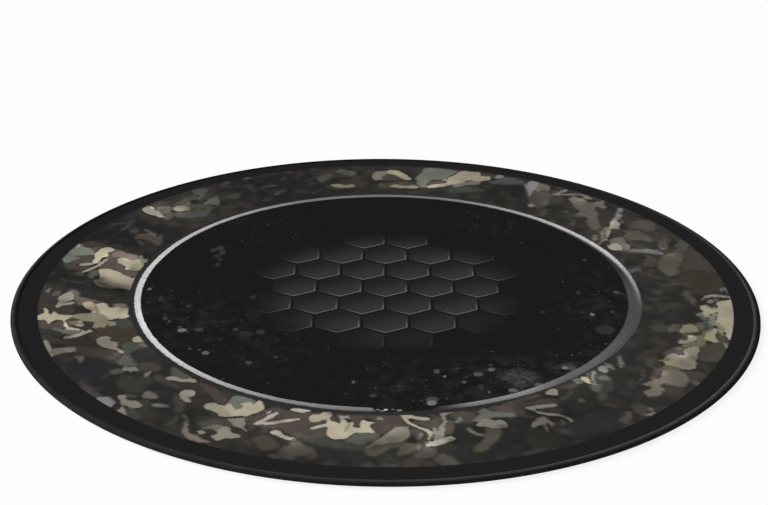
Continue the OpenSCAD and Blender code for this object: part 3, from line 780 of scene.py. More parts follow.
def rounded(corners, steps=4):
    """A closed curve through the corners. Between two of them it is a cubic whose slope at each end runs
    parallel to the line between that corner's neighbours."""
    before, after, later = (np.roll(corners, shift, 0)[:, None] for shift in (1, -1, -2))
    here = corners[:, None]
    t = (np.arange(steps) / steps)[None, :, None]
    bend = (2 * before - 5 * here + 4 * after - later) * t**2 + (3 * here - before - 3 * after + later) * t**3
    return (here + ((after - before) * t + bend) / 2).reshape(-1, 2)


def outline_depth(corners, x, y):
    """The distance to the rounded outline. It counts as inside where a ray to the right meets the outline an
    odd number of times."""
    start = rounded(corners)
    run = np.roll(start, -1, 0) - start
    away = nearest_leg(start, run, x, y)[1].min(1)
    above = start[:, 1] > y[:, None]
    end_above = np.roll(above, -1, 1)
    slope = run[:, 0] / np.where(run[:, 1] == 0, TINY, run[:, 1])
    meets = start[:, 0] + (y[:, None] - start[:, 1]) * slope
    crossed = (above != end_above) & (x[:, None] < meets)
    return np.where(crossed.sum(1) % 2 == 1, away, -away)


print("depth helpers: twig_depth, outline_depth")

# %% Fields of the camouflage on the mesh
# Display grey of a pale and of a dark ink, and the distance to each side over which the edge of each fades,
# in millimetres: pale inks are crisp and dark ones blur
PALE = 130
DARK = 60
CRISP = 1.4
BLURRED = 4.5
# The edge of mist is never crisper than this
SOFTEST = {"mist": 3.0}


def ink_layer(blotches, x, y):
    """The depth inside the nearest blotch at each place, the ink there, and the distance over which its edge
    fades. A later blotch covers an earlier one."""
    depth = np.full(x.shape, -REACH)
    colour = np.zeros(x.shape + (3,))
    fade = np.full(x.shape, CRISP)
    for ink, lightness, *points in blotches:
        spots = np.array(points, float)
        low = spots[:, :2].min(0) - 2 * REACH
        high = spots[:, :2].max(0) + 2 * REACH
        near = np.flatnonzero((x > low[0]) & (x < high[0]) & (y > low[1]) & (y < high[1]))
        measure = twig_depth if spots.shape[1] == 3 else outline_depth
        found = measure(spots, x[near], y[near])
        over = near[(found > 0) | (found > depth[near])]
        tone = np.array(INKS[ink]) * lightness
        colour[over] = linear(tone)
        by_tone = np.interp(tone.mean(), [DARK, PALE], [BLURRED, CRISP])
        fade[over] = max(by_tone, SOFTEST.get(ink, CRISP))
        depth[near] = np.maximum(depth[near], found)
    return depth, colour, fade


def store(mesh, name, values):
    """Puts one number, or one colour, on each point of a mesh, where a material can read it by name."""
    if values.ndim == 1:
        mesh.attributes.new(name, "FLOAT", "POINT").data.foreach_set("value", values.astype(np.float32))
        return
    opaque = np.concatenate([values, np.ones((len(values), 1))], -1)
    made = mesh.attributes.new(name, "FLOAT_COLOR", "POINT")
    made.data.foreach_set("color", opaque.astype(np.float32).ravel())


print_x = cloth_points[:, 0] / MM
print_y = cloth_points[:, 1] / MM
for layer, blotches in (("ground", GROUND), ("upper", UPPER), ("detail", DETAIL)):
    depth, colour, fade = ink_layer(blotches, print_x, print_y)
    store(cloth.data, layer + "_depth", depth)
    store(cloth.data, layer + "_ink", colour)
    store(cloth.data, layer + "_fade", fade)
    print(f"{layer}: ink covers {np.mean(depth[len(plain) * AROUND:] > 0):.0%} of the band's points")

# %% [markdown]
# ## The ring, the clouds, and paint dust with a painted sheen
# A ring painted with a dry brush parts the band from the black middle. It isn't quite concentric with the
# mat, and its width and tone change with the angle, so a short list of angles holds them and numpy fills in
# between. A width of zero leaves a gap. The same goes for how busy the bare ground of the band is. Soft
# clouds dim or lift the camouflage, and in the middle soft hills say where paint dust is thick. Two of the
# hills, along the right inside of the ring, are partly a painted reflection of light on the black.

# %% Ring and bare ground by angle
# Angle in degrees; outer radius, width, width of the outer rim and width of the dark line outside, in
# millimetres; display grey of body and rim
RING = [
    (0, 343.5, 17, 5, 1, 73, 138),
    (10, 342.3, 15, 6, 1, 46, 172),
    (20, 340.8, 14, 8, 1, 41, 198),
    (30, 338.8, 14, 8, 1, 46, 190),
    (40, 337.5, 12, 8, 1, 52, 190),
    (55, 337.0, 10, 8, 1, 70, 165),
    (75, 336.5, 9, 8, 4, 100, 120),
    (110, 336.0, 9, 8, 4, 110, 120),
    (140, 336.0, 8, 4, 8, 175, 175),
    (165, 336.2, 8, 4, 8, 206, 200),
    (180, 337.8, 8, 4, 8, 212, 202),
    (190, 338.9, 8, 4, 8, 212, 205),
    (200, 340.2, 8, 4, 8, 230, 212),
    (210, 341.3, 8, 4, 8, 214, 205),
    (220, 342.1, 7.6, 4, 8, 212, 200),
    (230, 342.8, 7.6, 4, 8, 190, 170),
    (240, 343.2, 7.6, 4, 8, 165, 150),
    (250, 343.5, 7.6, 4, 8, 142, 128),
    (260, 343.3, 9, 4, 8, 136, 120),
    (267.4, 343.0, 9, 4, 8, 124, 100),
    (268.6, 343.0, 0, 4, 8, 60, 52),
    (279, 343.0, 0, 4, 8, 50, 46),
    (281, 343.0, 8, 4, 8, 52, 48),
    (287, 343.4, 9, 4, 8, 130, 112),
    (300, 343.8, 10, 4, 3, 140, 122),
    (310, 344.0, 12, 4, 1, 100, 88),
    (320, 344.0, 13, 4, 1, 98, 92),
    (330, 346.0, 16, 5, 1, 86, 74),
    (340, 347.0, 18, 5, 1, 75, 70),
    (350, 346.0, 18, 5, 1, 72, 72),
    (360, 343.5, 17, 5, 1, 73, 138),
]

# Angle in degrees and how far the bare ground of the band is lifted there, from black to brown
BUSY = [
    (0, 0.35), (15, 1.0), (35, 0.95), (48, 0.42), (62, 0.3), (75, 0.8), (90, 0.35), (105, 0.1), (122, 0.08),
    (135, 1.0), (150, 0.1), (166, 0.08), (180, 0.35), (195, 0.95), (210, 0.5), (225, 0.1), (240, 0.85),
    (255, 0.27), (270, 0.53), (285, 0.2), (302, 0.05), (316, 0.42), (330, 0.6), (346, 0.25), (360, 0.35),
]
print("ring angles:", len(RING), "bare ground angles:", len(BUSY))

# %% Clouds, and hills of paint dust and painted sheen
# Centre and radius, in millimetres, of each soft cloud that dims or lifts the camouflage, and by what factor
CLOUDS = [
    (-440, 25, 40, 0.86), (-406, 162, 38, 0.84), (-360, 122, 18, 0.84), (-455, 95, 16, 0.86),
    (-350, -32, 30, 0.84), (-390, 5, 13, 0.66), (-379, -4, 13, 0.66), (-366, -11, 13, 0.66),
    (-353, -16, 12, 0.66), (-388, 38, 16, 1.12), (-385, -75, 20, 0.92), (-409, -112, 10, 1.25),
    (-352, -168, 16, 0.92), (-380, -218, 45, 0.88), (-300, -208, 24, 1.15), (-345, 290, 16, 1.3),
    (-312, 248, 14, 1.2), (-283, 322, 12, 1.2), (-190, 350, 90, 0.9), (-100, -415, 18, 1.3),
    (-110, -446, 26, 0.82), (-128, -390, 14, 1.25), (-240, -335, 26, 0.9), (-225, -375, 16, 0.85),
    (45, -424, 12, 1.2), (62, -385, 12, 1.15), (10, -385, 14, 1.14), (8, -404, 10, 0.86),
    (-12, -416, 10, 0.68), (14, -408, 14, 0.88), (90, -350, 18, 1.15), (205, -405, 60, 0.93),
    (240, -350, 40, 0.92), (230, -280, 16, 1.2), (258, -248, 18, 1.3), (330, -262, 16, 1.15),
    (372, -220, 18, 0.88), (362, -262, 20, 0.9), (428, -68, 14, 1.12), (458, -65, 14, 0.9),
    (335, 195, 22, 1.15), (362, 148, 20, 1.25), (345, 85, 30, 0.88), (375, 127, 12, 1.2), (240, 350, 16, 1.2),
    (190, 345, 45, 0.82), (135, 428, 26, 0.93), (75, 375, 20, 1.15), (405, 118, 9, 1.35), (427, -34, 7, 0.6),
    (302, 324, 7, 1.4), (348, -206, 7, 0.65), (342, 210, 7, 0.75), (-392, 18, 7, 0.65), (386, -140, 7, 1.5),
    (70, 390, 8, 1.4), (-364, 84, 7, 1.28), (135, -375, 6, 0.7), (336, 232, 7, 1.3), (-63, -347, 5, 0.75),
    (-406, -160, 7, 0.66), (-410, -124, 7, 1.4), (338, -244, 6, 1.45), (48, -422, 6, 1.4),
    (-352, 280, 7, 1.5), (222, -276, 8, 1.4), (-332, -202, 7, 1.35), (-396, 90, 6, 1.35), (76, -406, 6, 0.65),
    (-350, 50, 6, 0.8), (352, 274, 7, 0.72), (248, 360, 7, 0.76), (-124, -366, 7, 0.75), (-364, 280, 7, 0.78),
    (370, -194, 7, 1.5), (-232, -364, 7, 0.55), (384, -202, 7, 0.75), (-314, 284, 7, 0.78),
    (-346, -78, 7, 0.83), (-430, -57, 8, 0.8), (-389, -78, 9, 0.74), (-80, -447, 12, 0.72),
    (-118, -438, 9, 0.85),
]

# Centre and radius, in millimetres, and strength of each place where paint dust is thick. The hills at
# (272, -170) and (290, -70), along the right inside of the ring, are partly a painted reflection of light
SPATTER_AND_SHEEN = [
    (-235, -120, 75, 0.5), (-295, -60, 50, 0.4), (-150, -190, 70, 0.3), (162, -258, 48, 1.0),
    (222, -228, 30, 0.9), (110, -270, 60, 0.6), (20, -285, 70, 0.4), (290, -70, 60, 0.5),
    (272, -170, 40, 0.5), (285, 40, 50, 0.25), (170, 225, 70, 0.2), (-200, 200, 80, 0.2),
]
print("soft clouds:", len(CLOUDS), "hills of dust:", len(SPATTER_AND_SHEEN))

# %% Fields of the ring, the clouds, and the paint dust with its painted sheen
# A cloud's factor is meant for display greys, which stand for light to about this power
DISPLAY_GAMMA = 2.2


def hill(x, y, spread):
    """A soft bell on the mesh: e to the power of minus the square of (distance from x, y) / spread."""
    return np.exp(-((print_x - x) ** 2 + (print_y - y) ** 2) / spread**2)


angle = np.degrees(np.arctan2(print_y, print_x)) % 360
ring_angle, *ring_sizes, body_grey, rim_grey = np.array(RING, float).T
for field, column in zip(("ring_outer", "ring_width", "ring_rim_width", "ring_line_width"), ring_sizes):
    store(cloth.data, field, np.interp(angle, ring_angle, column))
for field, column in (("ring_body", body_grey), ("ring_rim", rim_grey)):
    store(cloth.data, field, linear(np.interp(angle, ring_angle, column)))
store(cloth.data, "busy", np.interp(angle, *np.array(BUSY, float).T))
cloudy = np.ones(len(cloth_points))
for x, y, spread, factor in CLOUDS:
    cloudy *= 1 + (factor - 1) * hill(x, y, spread)
store(cloth.data, "cloudy", cloudy**DISPLAY_GAMMA)
# Paint dust, and in two hills near the ring's right inside a painted reflection on the black
thick = np.zeros(len(cloth_points))
for x, y, spread, strength in SPATTER_AND_SHEEN:
    thick = np.maximum(thick, strength * hill(x, y, spread))
store(cloth.data, "spatter_and_sheen", thick)
print(f"clouds change the print by {cloudy.min():.2f} to {cloudy.max():.2f}, dust up to {thick.max():.2f}")

# %% [markdown]
# ## The sewn edge
# An overlock seam wraps the cut edge in loops. The upper thread zigzags from the needle line over the edge to
# the outside and back, the lower thread does the same underneath, and the needle thread runs along the inner
# line and dips at every stitch. Each is one closed tube, so the edge has real stitches to catch the light.
# Close threads read as one rolled bead, so each point also stores the way the bead as a whole faces there.


# %% The threads' tube
def tube(path, up, half_wide, half_thick, sides):
    """A closed tube along path: round each point p goes the oval p + w cos(q) side + h sin(q) lift. Side is
    square to the path's run and to up, and lift is square to both."""
    run = np.roll(path, -1, 0) - np.roll(path, 1, 0)
    side = np.cross(run, up)
    side /= np.linalg.norm(side, axis=1, keepdims=True)
    lift = np.cross(side, run)
    lift /= np.linalg.norm(lift, axis=1, keepdims=True)
    q = (2 * np.pi * np.arange(sides) / sides)[None, :, None]
    points = path[:, None] + half_wide * np.cos(q) * side[:, None] + half_thick * np.sin(q) * lift[:, None]
    here = np.arange(len(path))[:, None] * sides
    ahead = np.roll(here, -1, 0)
    spot = np.arange(sides)[None, :]
    turn = (spot + 1) % sides
    quads = np.stack([here + spot, ahead + spot, ahead + turn, here + turn], -1).reshape(-1, 4)
    return points.reshape(-1, 3), [quads]


def around_axis(r, z, turn):
    """Points at radius r, height z and angle turn round the Z axis."""
    return np.stack([r * np.cos(turn), r * np.sin(turn), z + 0 * turn], -1)


print("thread helpers: tube, around_axis")

# %% The looper threads
STITCHES = 1300
THREAD_WIDE = 0.8 * MM
THREAD_THICK = 0.32 * MM
THREAD_SIDES = 5
# A stitch sets out after this share of its step, and takes this share to reach the outside
OUT_FROM = 0.06
OUT_SHARE = 0.38

# Middle lines of the two loopers across the edge, from the needle side to the outside: millimetres in from
# the edge, and height
UPPER_LINE = [(9.4, 4.05), (8.2, 4.3), (7.0, 4.58), (5.8, 4.5), (4.2, 3.82), (2.2, 2.97), (0.5, 2.25)]
LOWER_LINE = [(8.5, 0.6), (7.2, 0.4), (5.5, 0.36), (3.0, 0.4), (1.2, 1.1), (0.55, 2.25)]


def looper(line, shift):
    """Path and outward direction of a thread that zigzags across the edge. Each stitch goes out along the
    line in the first half of its step and back along it in the second half."""
    steps = len(line)
    out = OUT_FROM + OUT_SHARE * np.arange(steps) / (steps - 1)
    phase = np.concatenate([out, 1 - out[::-1]]) + shift
    there_and_back = np.concatenate([np.arange(steps), np.arange(steps)[::-1]])
    turn = 2 * np.pi * (np.arange(STITCHES)[:, None] + phase[None, :]).ravel() / STITCHES
    run = np.gradient(line, axis=0)
    outward = np.stack([run[:, 1], run[:, 0]], -1)
    outward /= np.linalg.norm(outward, axis=1, keepdims=True)
    r = np.tile(mat_r - line[there_and_back, 0], STITCHES)
    z = np.tile(line[there_and_back, 1], STITCHES)
    tilt_r = np.tile(outward[there_and_back, 0], STITCHES)
    tilt_z = np.tile(-outward[there_and_back, 1], STITCHES)
    return around_axis(r, z, turn), around_axis(tilt_r, tilt_z, turn)


# The lean of the rolled edge towards the middle of the mat, in degrees, at some places in from the edge
ROLL_IN = [0.5, 2.0, 3.4, 4.6, 5.8, 7.2, 9.4]
ROLL_LEAN = [-60, -40, -20, 0, 20, 40, 30]


def store_roll(mesh, points):
    """Puts on each point the direction that the rolled edge as a whole faces there. It leans from straight up
    by an angle that depends on the way in from the edge."""
    way_in = (mat_r - np.hypot(points[:, 0], points[:, 1])) / MM
    lean = np.radians(np.interp(way_in, ROLL_IN, ROLL_LEAN))
    facing = around_axis(-np.sin(lean), np.cos(lean), np.arctan2(points[:, 1], points[:, 0]))
    made = mesh.attributes.new("roll", "FLOAT_VECTOR", "POINT")
    made.data.foreach_set("vector", facing.astype(np.float32).ravel())


def sew(name, node, path, up):
    """A thread of the seam as a tube piece that stands for one CAD node."""
    points, faces = tube(path, up, THREAD_WIDE, THREAD_THICK, THREAD_SIDES)
    made = put_mesh(name, points, faces)
    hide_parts(node)
    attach(made, "root")
    return made, points


upper_path, upper_up = looper(np.array(UPPER_LINE) * MM, 0.0)
upper_thread, upper_points = sew("looper_upper_stitches", "upper_looper_thread", upper_path, upper_up)
store_roll(upper_thread.data, upper_points)
# The lower thread lies under the edge, where no roll shows, and keeps its own facing
lower_path, lower_up = looper(np.array(LOWER_LINE) * MM, 0.5)
lower_thread, lower_points = sew("looper_lower_stitches", "lower_looper_thread", lower_path, -lower_up)
print(f"loopers: {len(upper_points) + len(lower_points)} points in {STITCHES} stitches")

# %% The needle thread
NEEDLE_IN = 7.2 * MM
NEEDLE_HALF = 0.36 * MM
NEEDLE_DIP = 0.5 * MM
NEEDLE_STEPS = 6
# The thread stays this much below the top of its CAD piece, and a higher power makes its dips shorter
NEEDLE_CLEAR = 0.02 * MM
DIP_POWER = 6

needle_turn = 2 * np.pi * np.arange(STITCHES * NEEDLE_STEPS) / (STITCHES * NEEDLE_STEPS)
dip = np.abs(np.cos(STITCHES * needle_turn / 2)) ** DIP_POWER
needle_z = needle_top - NEEDLE_HALF - NEEDLE_CLEAR - NEEDLE_DIP * dip
needle_path = around_axis(np.full_like(dip, mat_r - NEEDLE_IN), needle_z, needle_turn)
needle_up = np.tile([0.0, 0.0, 1.0], (len(needle_path), 1))
needle_points, needle_faces = tube(needle_path, needle_up, NEEDLE_HALF, NEEDLE_HALF, THREAD_SIDES)
needle = put_mesh("needle_stitches", needle_points, needle_faces)
store_roll(needle.data, needle_points)
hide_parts("needle_thread")
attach(needle, "root")

# %% [markdown]
# ## The rubber
# The rubber sheet is cut from a roll whose underside is moulded with a close pattern of hollows, so that it
# grips the floor. A polar grid would crowd its points in the middle, so the underside is a square grid that
# is pressed out into a disc with equal cells. Its rim is an even circle of points, which the sides of the
# sheet carry on from.

# %% The rubber sheet
GRIP_CELLS = 280
GRIP_PITCH = 14 * MM
GRIP_DEPTH = 0.5 * MM
# The hollows end over this distance in from the seam
GRIP_FADE = 4 * MM
# The mean of three waves that cross at sixty degrees is never lower than minus this, and spans this much
WAVE_LOW = 0.5
WAVE_SPAN = 1.5
PRESS_UP = 0.8 * MM
RUBBER_SHARP = np.radians(30)


def disc_grid(cells, radius):
    """A square grid pressed into a disc: the larger of |a| and |b| is the share of the radius, and the ratio
    of the other to it sets the angle within that quarter."""
    a, b = np.meshgrid(np.linspace(-1, 1, cells + 1), np.linspace(-1, 1, cells + 1))
    wide = np.abs(a) > np.abs(b)
    share = np.where(wide, a, b)
    other = np.where(wide, b, a)
    quarter = np.pi / 4 * other / np.where(share == 0, 1, share)
    turn = np.where(wide, quarter, np.pi / 2 - quarter)
    return share * radius * np.cos(turn), share * radius * np.sin(turn)


def grip_height(x, y):
    """Hollows on a three-way lattice: the mean of three waves that cross at sixty degrees, kept at zero near
    the rim."""
    k = 2 * np.pi / GRIP_PITCH
    waves = [np.cos(k * (x * np.cos(t) + y * np.sin(t))) for t in np.radians([0, 60, 120])]
    inside = np.clip((seam_r - np.hypot(x, y)) / GRIP_FADE, 0, 1)
    return GRIP_DEPTH * inside * np.clip(np.mean(waves, axis=0) + WAVE_LOW, 0, WAVE_SPAN) / WAVE_SPAN


under_x, under_y = disc_grid(GRIP_CELLS, seam_r)
under = np.stack([under_x, under_y, grip_height(under_x, under_y)], -1).reshape(-1, 3)
index = np.arange((GRIP_CELLS + 1) ** 2).reshape(GRIP_CELLS + 1, -1)
under_quads = np.stack([index[:-1, :-1], index[1:, :-1], index[1:, 1:], index[:-1, 1:]], -1).reshape(-1, 4)
rim = np.concatenate([index[0, :-1], index[:-1, -1], index[-1, :0:-1], index[:0:-1, 0]])
rim_turn = np.arctan2(under[rim, 1], under[rim, 0])
side_line = [(press_r, PRESS_UP), (cut_r, PRESS_UP), (cut_r, film_bottom - SQUEEZE)]
side_line += [(press_r, film_bottom - SQUEEZE), (seam_r, film_bottom)]
sides = np.concatenate([around_axis(np.full(len(rim), r), z, rim_turn) for r, z in side_line])
first_side = len(under)
middle = first_side + len(sides)
ahead_rim = np.roll(rim, -1)
spot = first_side + np.arange(len(rim))
ahead_spot = np.roll(spot, -1)
skirt = np.stack([rim, ahead_rim, ahead_spot, spot], -1)
last_ring = spot + (len(side_line) - 1) * len(rim)
lid = np.stack([last_ring, np.roll(last_ring, -1), np.full(len(rim), middle)], -1)
side_quads = ring_quads(len(side_line), len(rim), first_side)[:, ::-1]
rubber_points = np.concatenate([under, sides, [[0, 0, film_bottom]]])
rubber = put_mesh("rubber_grip_sheet", rubber_points, [under_quads, skirt, side_quads, lid])
rubber.data.set_sharp_from_angle(angle=RUBBER_SHARP)
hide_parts("rubber_base")
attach(rubber, "root")

# %% [markdown]
# ## Building materials from nodes
# Every finish is a node tree, so a few short helpers keep the trees readable: one makes a node, one sets or
# joins a socket, and the rest stand for the sums that come up again and again. An effect that comes back in
# several places is a node group with named sockets.


# %% Node helpers
def add_node(tree, kind, **settings):
    """A new node with its properties set by name."""
    made = tree.nodes.new(kind)
    for key, value in settings.items():
        setattr(made, key, value)
    return made


def feed(tree, socket, value):
    """Joins a socket to another one, or sets it to a plain value."""
    if isinstance(value, bpy.types.NodeSocket):
        tree.links.new(value, socket)
    else:
        socket.default_value = value


def calc(tree, operation, *values):
    """The result of a Math node on sockets and numbers."""
    made = add_node(tree, "ShaderNodeMath", operation=operation)
    for socket, value in zip(made.inputs, values):
        feed(tree, socket, value)
    return made.outputs[0]


def vector(tree, operation, *values, result=0):
    """The result of a Vector Math node on sockets and triples."""
    made = add_node(tree, "ShaderNodeVectorMath", operation=operation)
    for socket, value in zip(made.inputs, values):
        feed(tree, socket, value)
    return made.outputs[result]


def rise(tree, value, low, high, start=0.0, end=1.0, curve="SMOOTHSTEP"):
    """Start below low, end above high, and a smooth S curve between. Low may be the larger, for a fall."""
    made = add_node(tree, "ShaderNodeMapRange", interpolation_type=curve)
    for socket, given in zip(made.inputs, (value, low, high, start, end)):
        feed(tree, socket, given)
    return made.outputs[0]


def blend(tree, share, first, second, way="MIX"):
    """A colour that goes from first, at share 0, to second at share 1, or to their product or sum."""
    made = add_node(tree, "ShaderNodeMix", data_type="RGBA", blend_type=way)
    for slot, value in ((0, share), (6, first), (7, second)):
        feed(tree, made.inputs[slot], value)
    return made.outputs[2]


def bump(tree, height, strength, depth, facing=None):
    """The direction a surface faces once a fine relief tips it, from its own facing or from a given one."""
    made = add_node(tree, "ShaderNodeBump")
    for label, value in (("Height", height), ("Strength", strength), ("Distance", depth)):
        feed(tree, made.inputs[label], value)
    if facing is not None:
        feed(tree, made.inputs["Normal"], facing)
    return made.outputs[0]


def noise(tree, place, scale, detail=2.0, roughness=0.5):
    """A Noise Texture's value, about 0.3 to 0.7, at the given place."""
    made = add_node(tree, "ShaderNodeTexNoise")
    feed(tree, made.inputs["Vector"], place)
    for name, value in (("Scale", scale), ("Detail", detail), ("Roughness", roughness)):
        feed(tree, made.inputs[name], value)
    return made.outputs[0]


def stored(tree, name, colour=False):
    """A field that was stored on the mesh's points, as a number or as a colour."""
    made = add_node(tree, "ShaderNodeAttribute", attribute_name=name)
    return made.outputs["Color" if colour else "Fac"]


def paint(srgb):
    """A display colour as a node socket wants it: linear, with alpha."""
    return tuple(float(v) for v in linear(srgb)) + (1.0,)


def new_group(name, inputs, outputs):
    """An empty node group with named sockets. Returns the group, its inputs and its outputs."""
    group = bpy.data.node_groups.new(name, "ShaderNodeTree")
    for direction, sockets in (("INPUT", inputs), ("OUTPUT", outputs)):
        for label, kind in sockets:
            group.interface.new_socket(label, in_out=direction, socket_type="NodeSocket" + kind)
    return group, group.nodes.new("NodeGroupInput").outputs, group.nodes.new("NodeGroupOutput").inputs


def place_group(tree, group, **values):
    """A node that uses a group, with its inputs fed by name. Returns the node's outputs."""
    made = add_node(tree, "ShaderNodeGroup", node_tree=group)
    for label, value in values.items():
        feed(tree, made.inputs[label], value)
    return made.outputs


def new_material(name):
    """A material with one Principled shader. Returns the material, its tree and the shader's inputs."""
    material = bpy.data.materials.new(name)
    material.use_nodes = True
    tree = material.node_tree
    return material, tree, tree.nodes["Principled BSDF"].inputs


def millimetres(tree):
    """The place on the object in millimetres."""
    where = add_node(tree, "ShaderNodeTexCoord").outputs["Object"]
    return vector(tree, "MULTIPLY", where, (1 / MM,) * 3)


# A place times this loses its height
FLATTEN = (1.0, 1.0, 0.0)
print("node helpers: nodes, sums, colours, groups and materials")

# %% [markdown]
# ## Effects that materials share
# The knit is a fine lattice of loops. Fibre adds the slight fuzz and shade changes of yarn. Drops is a layer
# of round paint spots: a Voronoi texture gives each spot its own cell, and random numbers give it a size and
# a shade. A blot is one drop at a chosen place. Each of them is a group, so a material places it in one line.

# %% Knit and fibre groups
# Detail and roughness of the fine noise, and scale and detail of the broad one
YARN_FINE = (3.0, 0.6)
YARN_BROAD = (0.05, 2.0)
# How far a course bows over each wale, as a share of the pitch, and its height as a share of the wale's
COURSE_BOW = 0.4
COURSE_HEIGHT = 0.35

fibre, given, result = new_group(
    "fibre", [("Place", "Vector"), ("Grain", "Float")], [("Shade", "Float"), ("Height", "Float")]
)
fine = noise(fibre, given["Place"], given["Grain"], *YARN_FINE)
half_fine = calc(fibre, "MULTIPLY", fine, 0.5)
half_broad = calc(fibre, "MULTIPLY", noise(fibre, given["Place"], *YARN_BROAD), 0.5)
feed(fibre, result["Shade"], calc(fibre, "ADD", half_fine, half_broad))
feed(fibre, result["Height"], fine)

knit, given, result = new_group("knit", [("Place", "Vector"), ("Pitch", "Float")], [("Height", "Float")])
split = add_node(knit, "ShaderNodeSeparateXYZ")
feed(knit, split.inputs[0], vector(knit, "DIVIDE", given["Place"], given["Pitch"]))
wale = calc(knit, "ABSOLUTE", calc(knit, "SINE", calc(knit, "MULTIPLY", split.outputs[0], np.pi)))
bowed = calc(knit, "ADD", split.outputs[1], calc(knit, "MULTIPLY", wale, COURSE_BOW))
course = calc(knit, "SINE", calc(knit, "MULTIPLY", bowed, 2 * np.pi))
feed(knit, result["Height"], calc(knit, "ADD", wale, calc(knit, "MULTIPLY", course, COURSE_HEIGHT)))
print("groups: fibre, knit")


# %% Drops group
def wobbled(group, place, scale, reach):
    """A place moved about by a noise, by up to reach millimetres to the right and away."""
    made = add_node(group, "ShaderNodeTexNoise")
    feed(group, made.inputs["Vector"], place)
    feed(group, made.inputs["Scale"], scale)
    return vector(group, "MULTIPLY_ADD", made.outputs["Color"], (reach, reach, 0.0), place)


# Scale of the wobble's noise per millimetre, and its reach in millimetres
DROP_WOBBLE = (0.35, 2.2)
# A random number to this power sets a drop's size, so few are large. A drop is full up to this share of it
FEW_LARGE = 2.5
DROP_CORE = 0.6

drops, given, result = new_group(
    "drops",
    [("Place", "Vector"), ("Cell", "Float"), ("Largest", "Float"), ("Share", "Float")],
    [("Mask", "Float"), ("Shade", "Float")],
)
cells = add_node(drops, "ShaderNodeTexVoronoi", voronoi_dimensions="2D")
bent = wobbled(drops, given["Place"], *DROP_WOBBLE)
feed(drops, cells.inputs["Vector"], vector(drops, "DIVIDE", bent, given["Cell"]))
feed(drops, cells.inputs["Scale"], 1.0)
lots = add_node(drops, "ShaderNodeSeparateColor")
feed(drops, lots.inputs[0], cells.outputs["Color"])
size = calc(drops, "MULTIPLY", calc(drops, "POWER", lots.outputs[0], FEW_LARGE), given["Largest"])
spot_mask = rise(drops, cells.outputs["Distance"], size, calc(drops, "MULTIPLY", size, DROP_CORE))
chosen = calc(drops, "LESS_THAN", lots.outputs[1], given["Share"])
feed(drops, result["Mask"], calc(drops, "MULTIPLY", spot_mask, chosen))
feed(drops, result["Shade"], lots.outputs[2])
print("group: drops")

# %% Single drop group
# Scale and reach of the wobble, and the shares of a blot's size between which its edge fades
BLOT_WOBBLE = (0.25, 4.0)
BLOT_EDGE = (1.15, 0.75)

blot, given, result = new_group(
    "blot", [("Place", "Vector"), ("Centre", "Vector"), ("Size", "Vector")], [("Mask", "Float")]
)
mean_wobble = (BLOT_WOBBLE[1] / 2, BLOT_WOBBLE[1] / 2, 0.0)
blot_place = wobbled(blot, given["Place"], *BLOT_WOBBLE)
blot_from = vector(blot, "SUBTRACT", vector(blot, "SUBTRACT", blot_place, given["Centre"]), mean_wobble)
blot_share = vector(blot, "MULTIPLY", vector(blot, "DIVIDE", blot_from, given["Size"]), FLATTEN)
feed(blot, result["Mask"], rise(blot, vector(blot, "LENGTH", blot_share, result=1), *BLOT_EDGE))
print("group: blot")

# %% [markdown]
# ## The tiles in the middle
# The middle of the print carries a plain motif: dark hexagonal tiles that thin out towards their edge. A
# hexagon lattice is two rectangular lattices laid over each other, and each place belongs to the nearer
# centre of the two.

# %% Hexagon group
# The step of one rectangular lattice in tile widths, and the direction square to a tile's slanting side
HEX_STEP = (1.0, 3**0.5, 1.0)
HEX_SLANT = (0.5, 0.75**0.5, 0.0)

hexagon, given, result = new_group(
    "hexagon",
    [("Place", "Vector"), ("Size", "Float")],
    [("Edge", "Float"), ("Offset", "Vector"), ("Centre", "Vector")],
)
step = vector(hexagon, "MULTIPLY", HEX_STEP, given["Size"])
half = vector(hexagon, "MULTIPLY", step, (0.5, 0.5, 0.5))
minus_half = vector(hexagon, "MULTIPLY", step, (-0.5, -0.5, -0.5))
level = vector(hexagon, "MULTIPLY", given["Place"], FLATTEN)
first = vector(hexagon, "MULTIPLY", vector(hexagon, "WRAP", level, half, minus_half), FLATTEN)
shifted = vector(hexagon, "SUBTRACT", level, half)
second = vector(hexagon, "MULTIPLY", vector(hexagon, "WRAP", shifted, half, minus_half), FLATTEN)
first_away = vector(hexagon, "LENGTH", first, result=1)
second_away = vector(hexagon, "LENGTH", second, result=1)
pick = add_node(hexagon, "ShaderNodeMix", data_type="VECTOR")
for slot, value in ((0, calc(hexagon, "LESS_THAN", second_away, first_away)), (4, first), (5, second)):
    feed(hexagon, pick.inputs[slot], value)
offset = pick.outputs[1]
reach = vector(hexagon, "ABSOLUTE", offset)
flat_side = vector(hexagon, "DOT_PRODUCT", reach, (1.0, 0.0, 0.0), result=1)
slant_side = vector(hexagon, "DOT_PRODUCT", reach, HEX_SLANT, result=1)
outward = calc(hexagon, "MAXIMUM", flat_side, slant_side)
half_size = calc(hexagon, "MULTIPLY", given["Size"], 0.5)
feed(hexagon, result["Edge"], calc(hexagon, "SUBTRACT", half_size, outward))
feed(hexagon, result["Offset"], offset)
feed(hexagon, result["Centre"], vector(hexagon, "SUBTRACT", level, offset))
print("group: hexagon")

# %% [markdown]
# ## The printed cloth's finish
# The print is built up as the dyes are: a dark ground, the three layers of blotches, the ring and the
# spatter, and a black border outside. Near the ring's right inside the spatter's haze is partly a painted
# reflection, and a painted sheen is added to every colour. A little noise is added to each blotch's depth
# before it is cut off at zero, which makes the outlines ragged. The dye sinks into the yarn, so the print
# changes only the colour and the knit gives the relief.

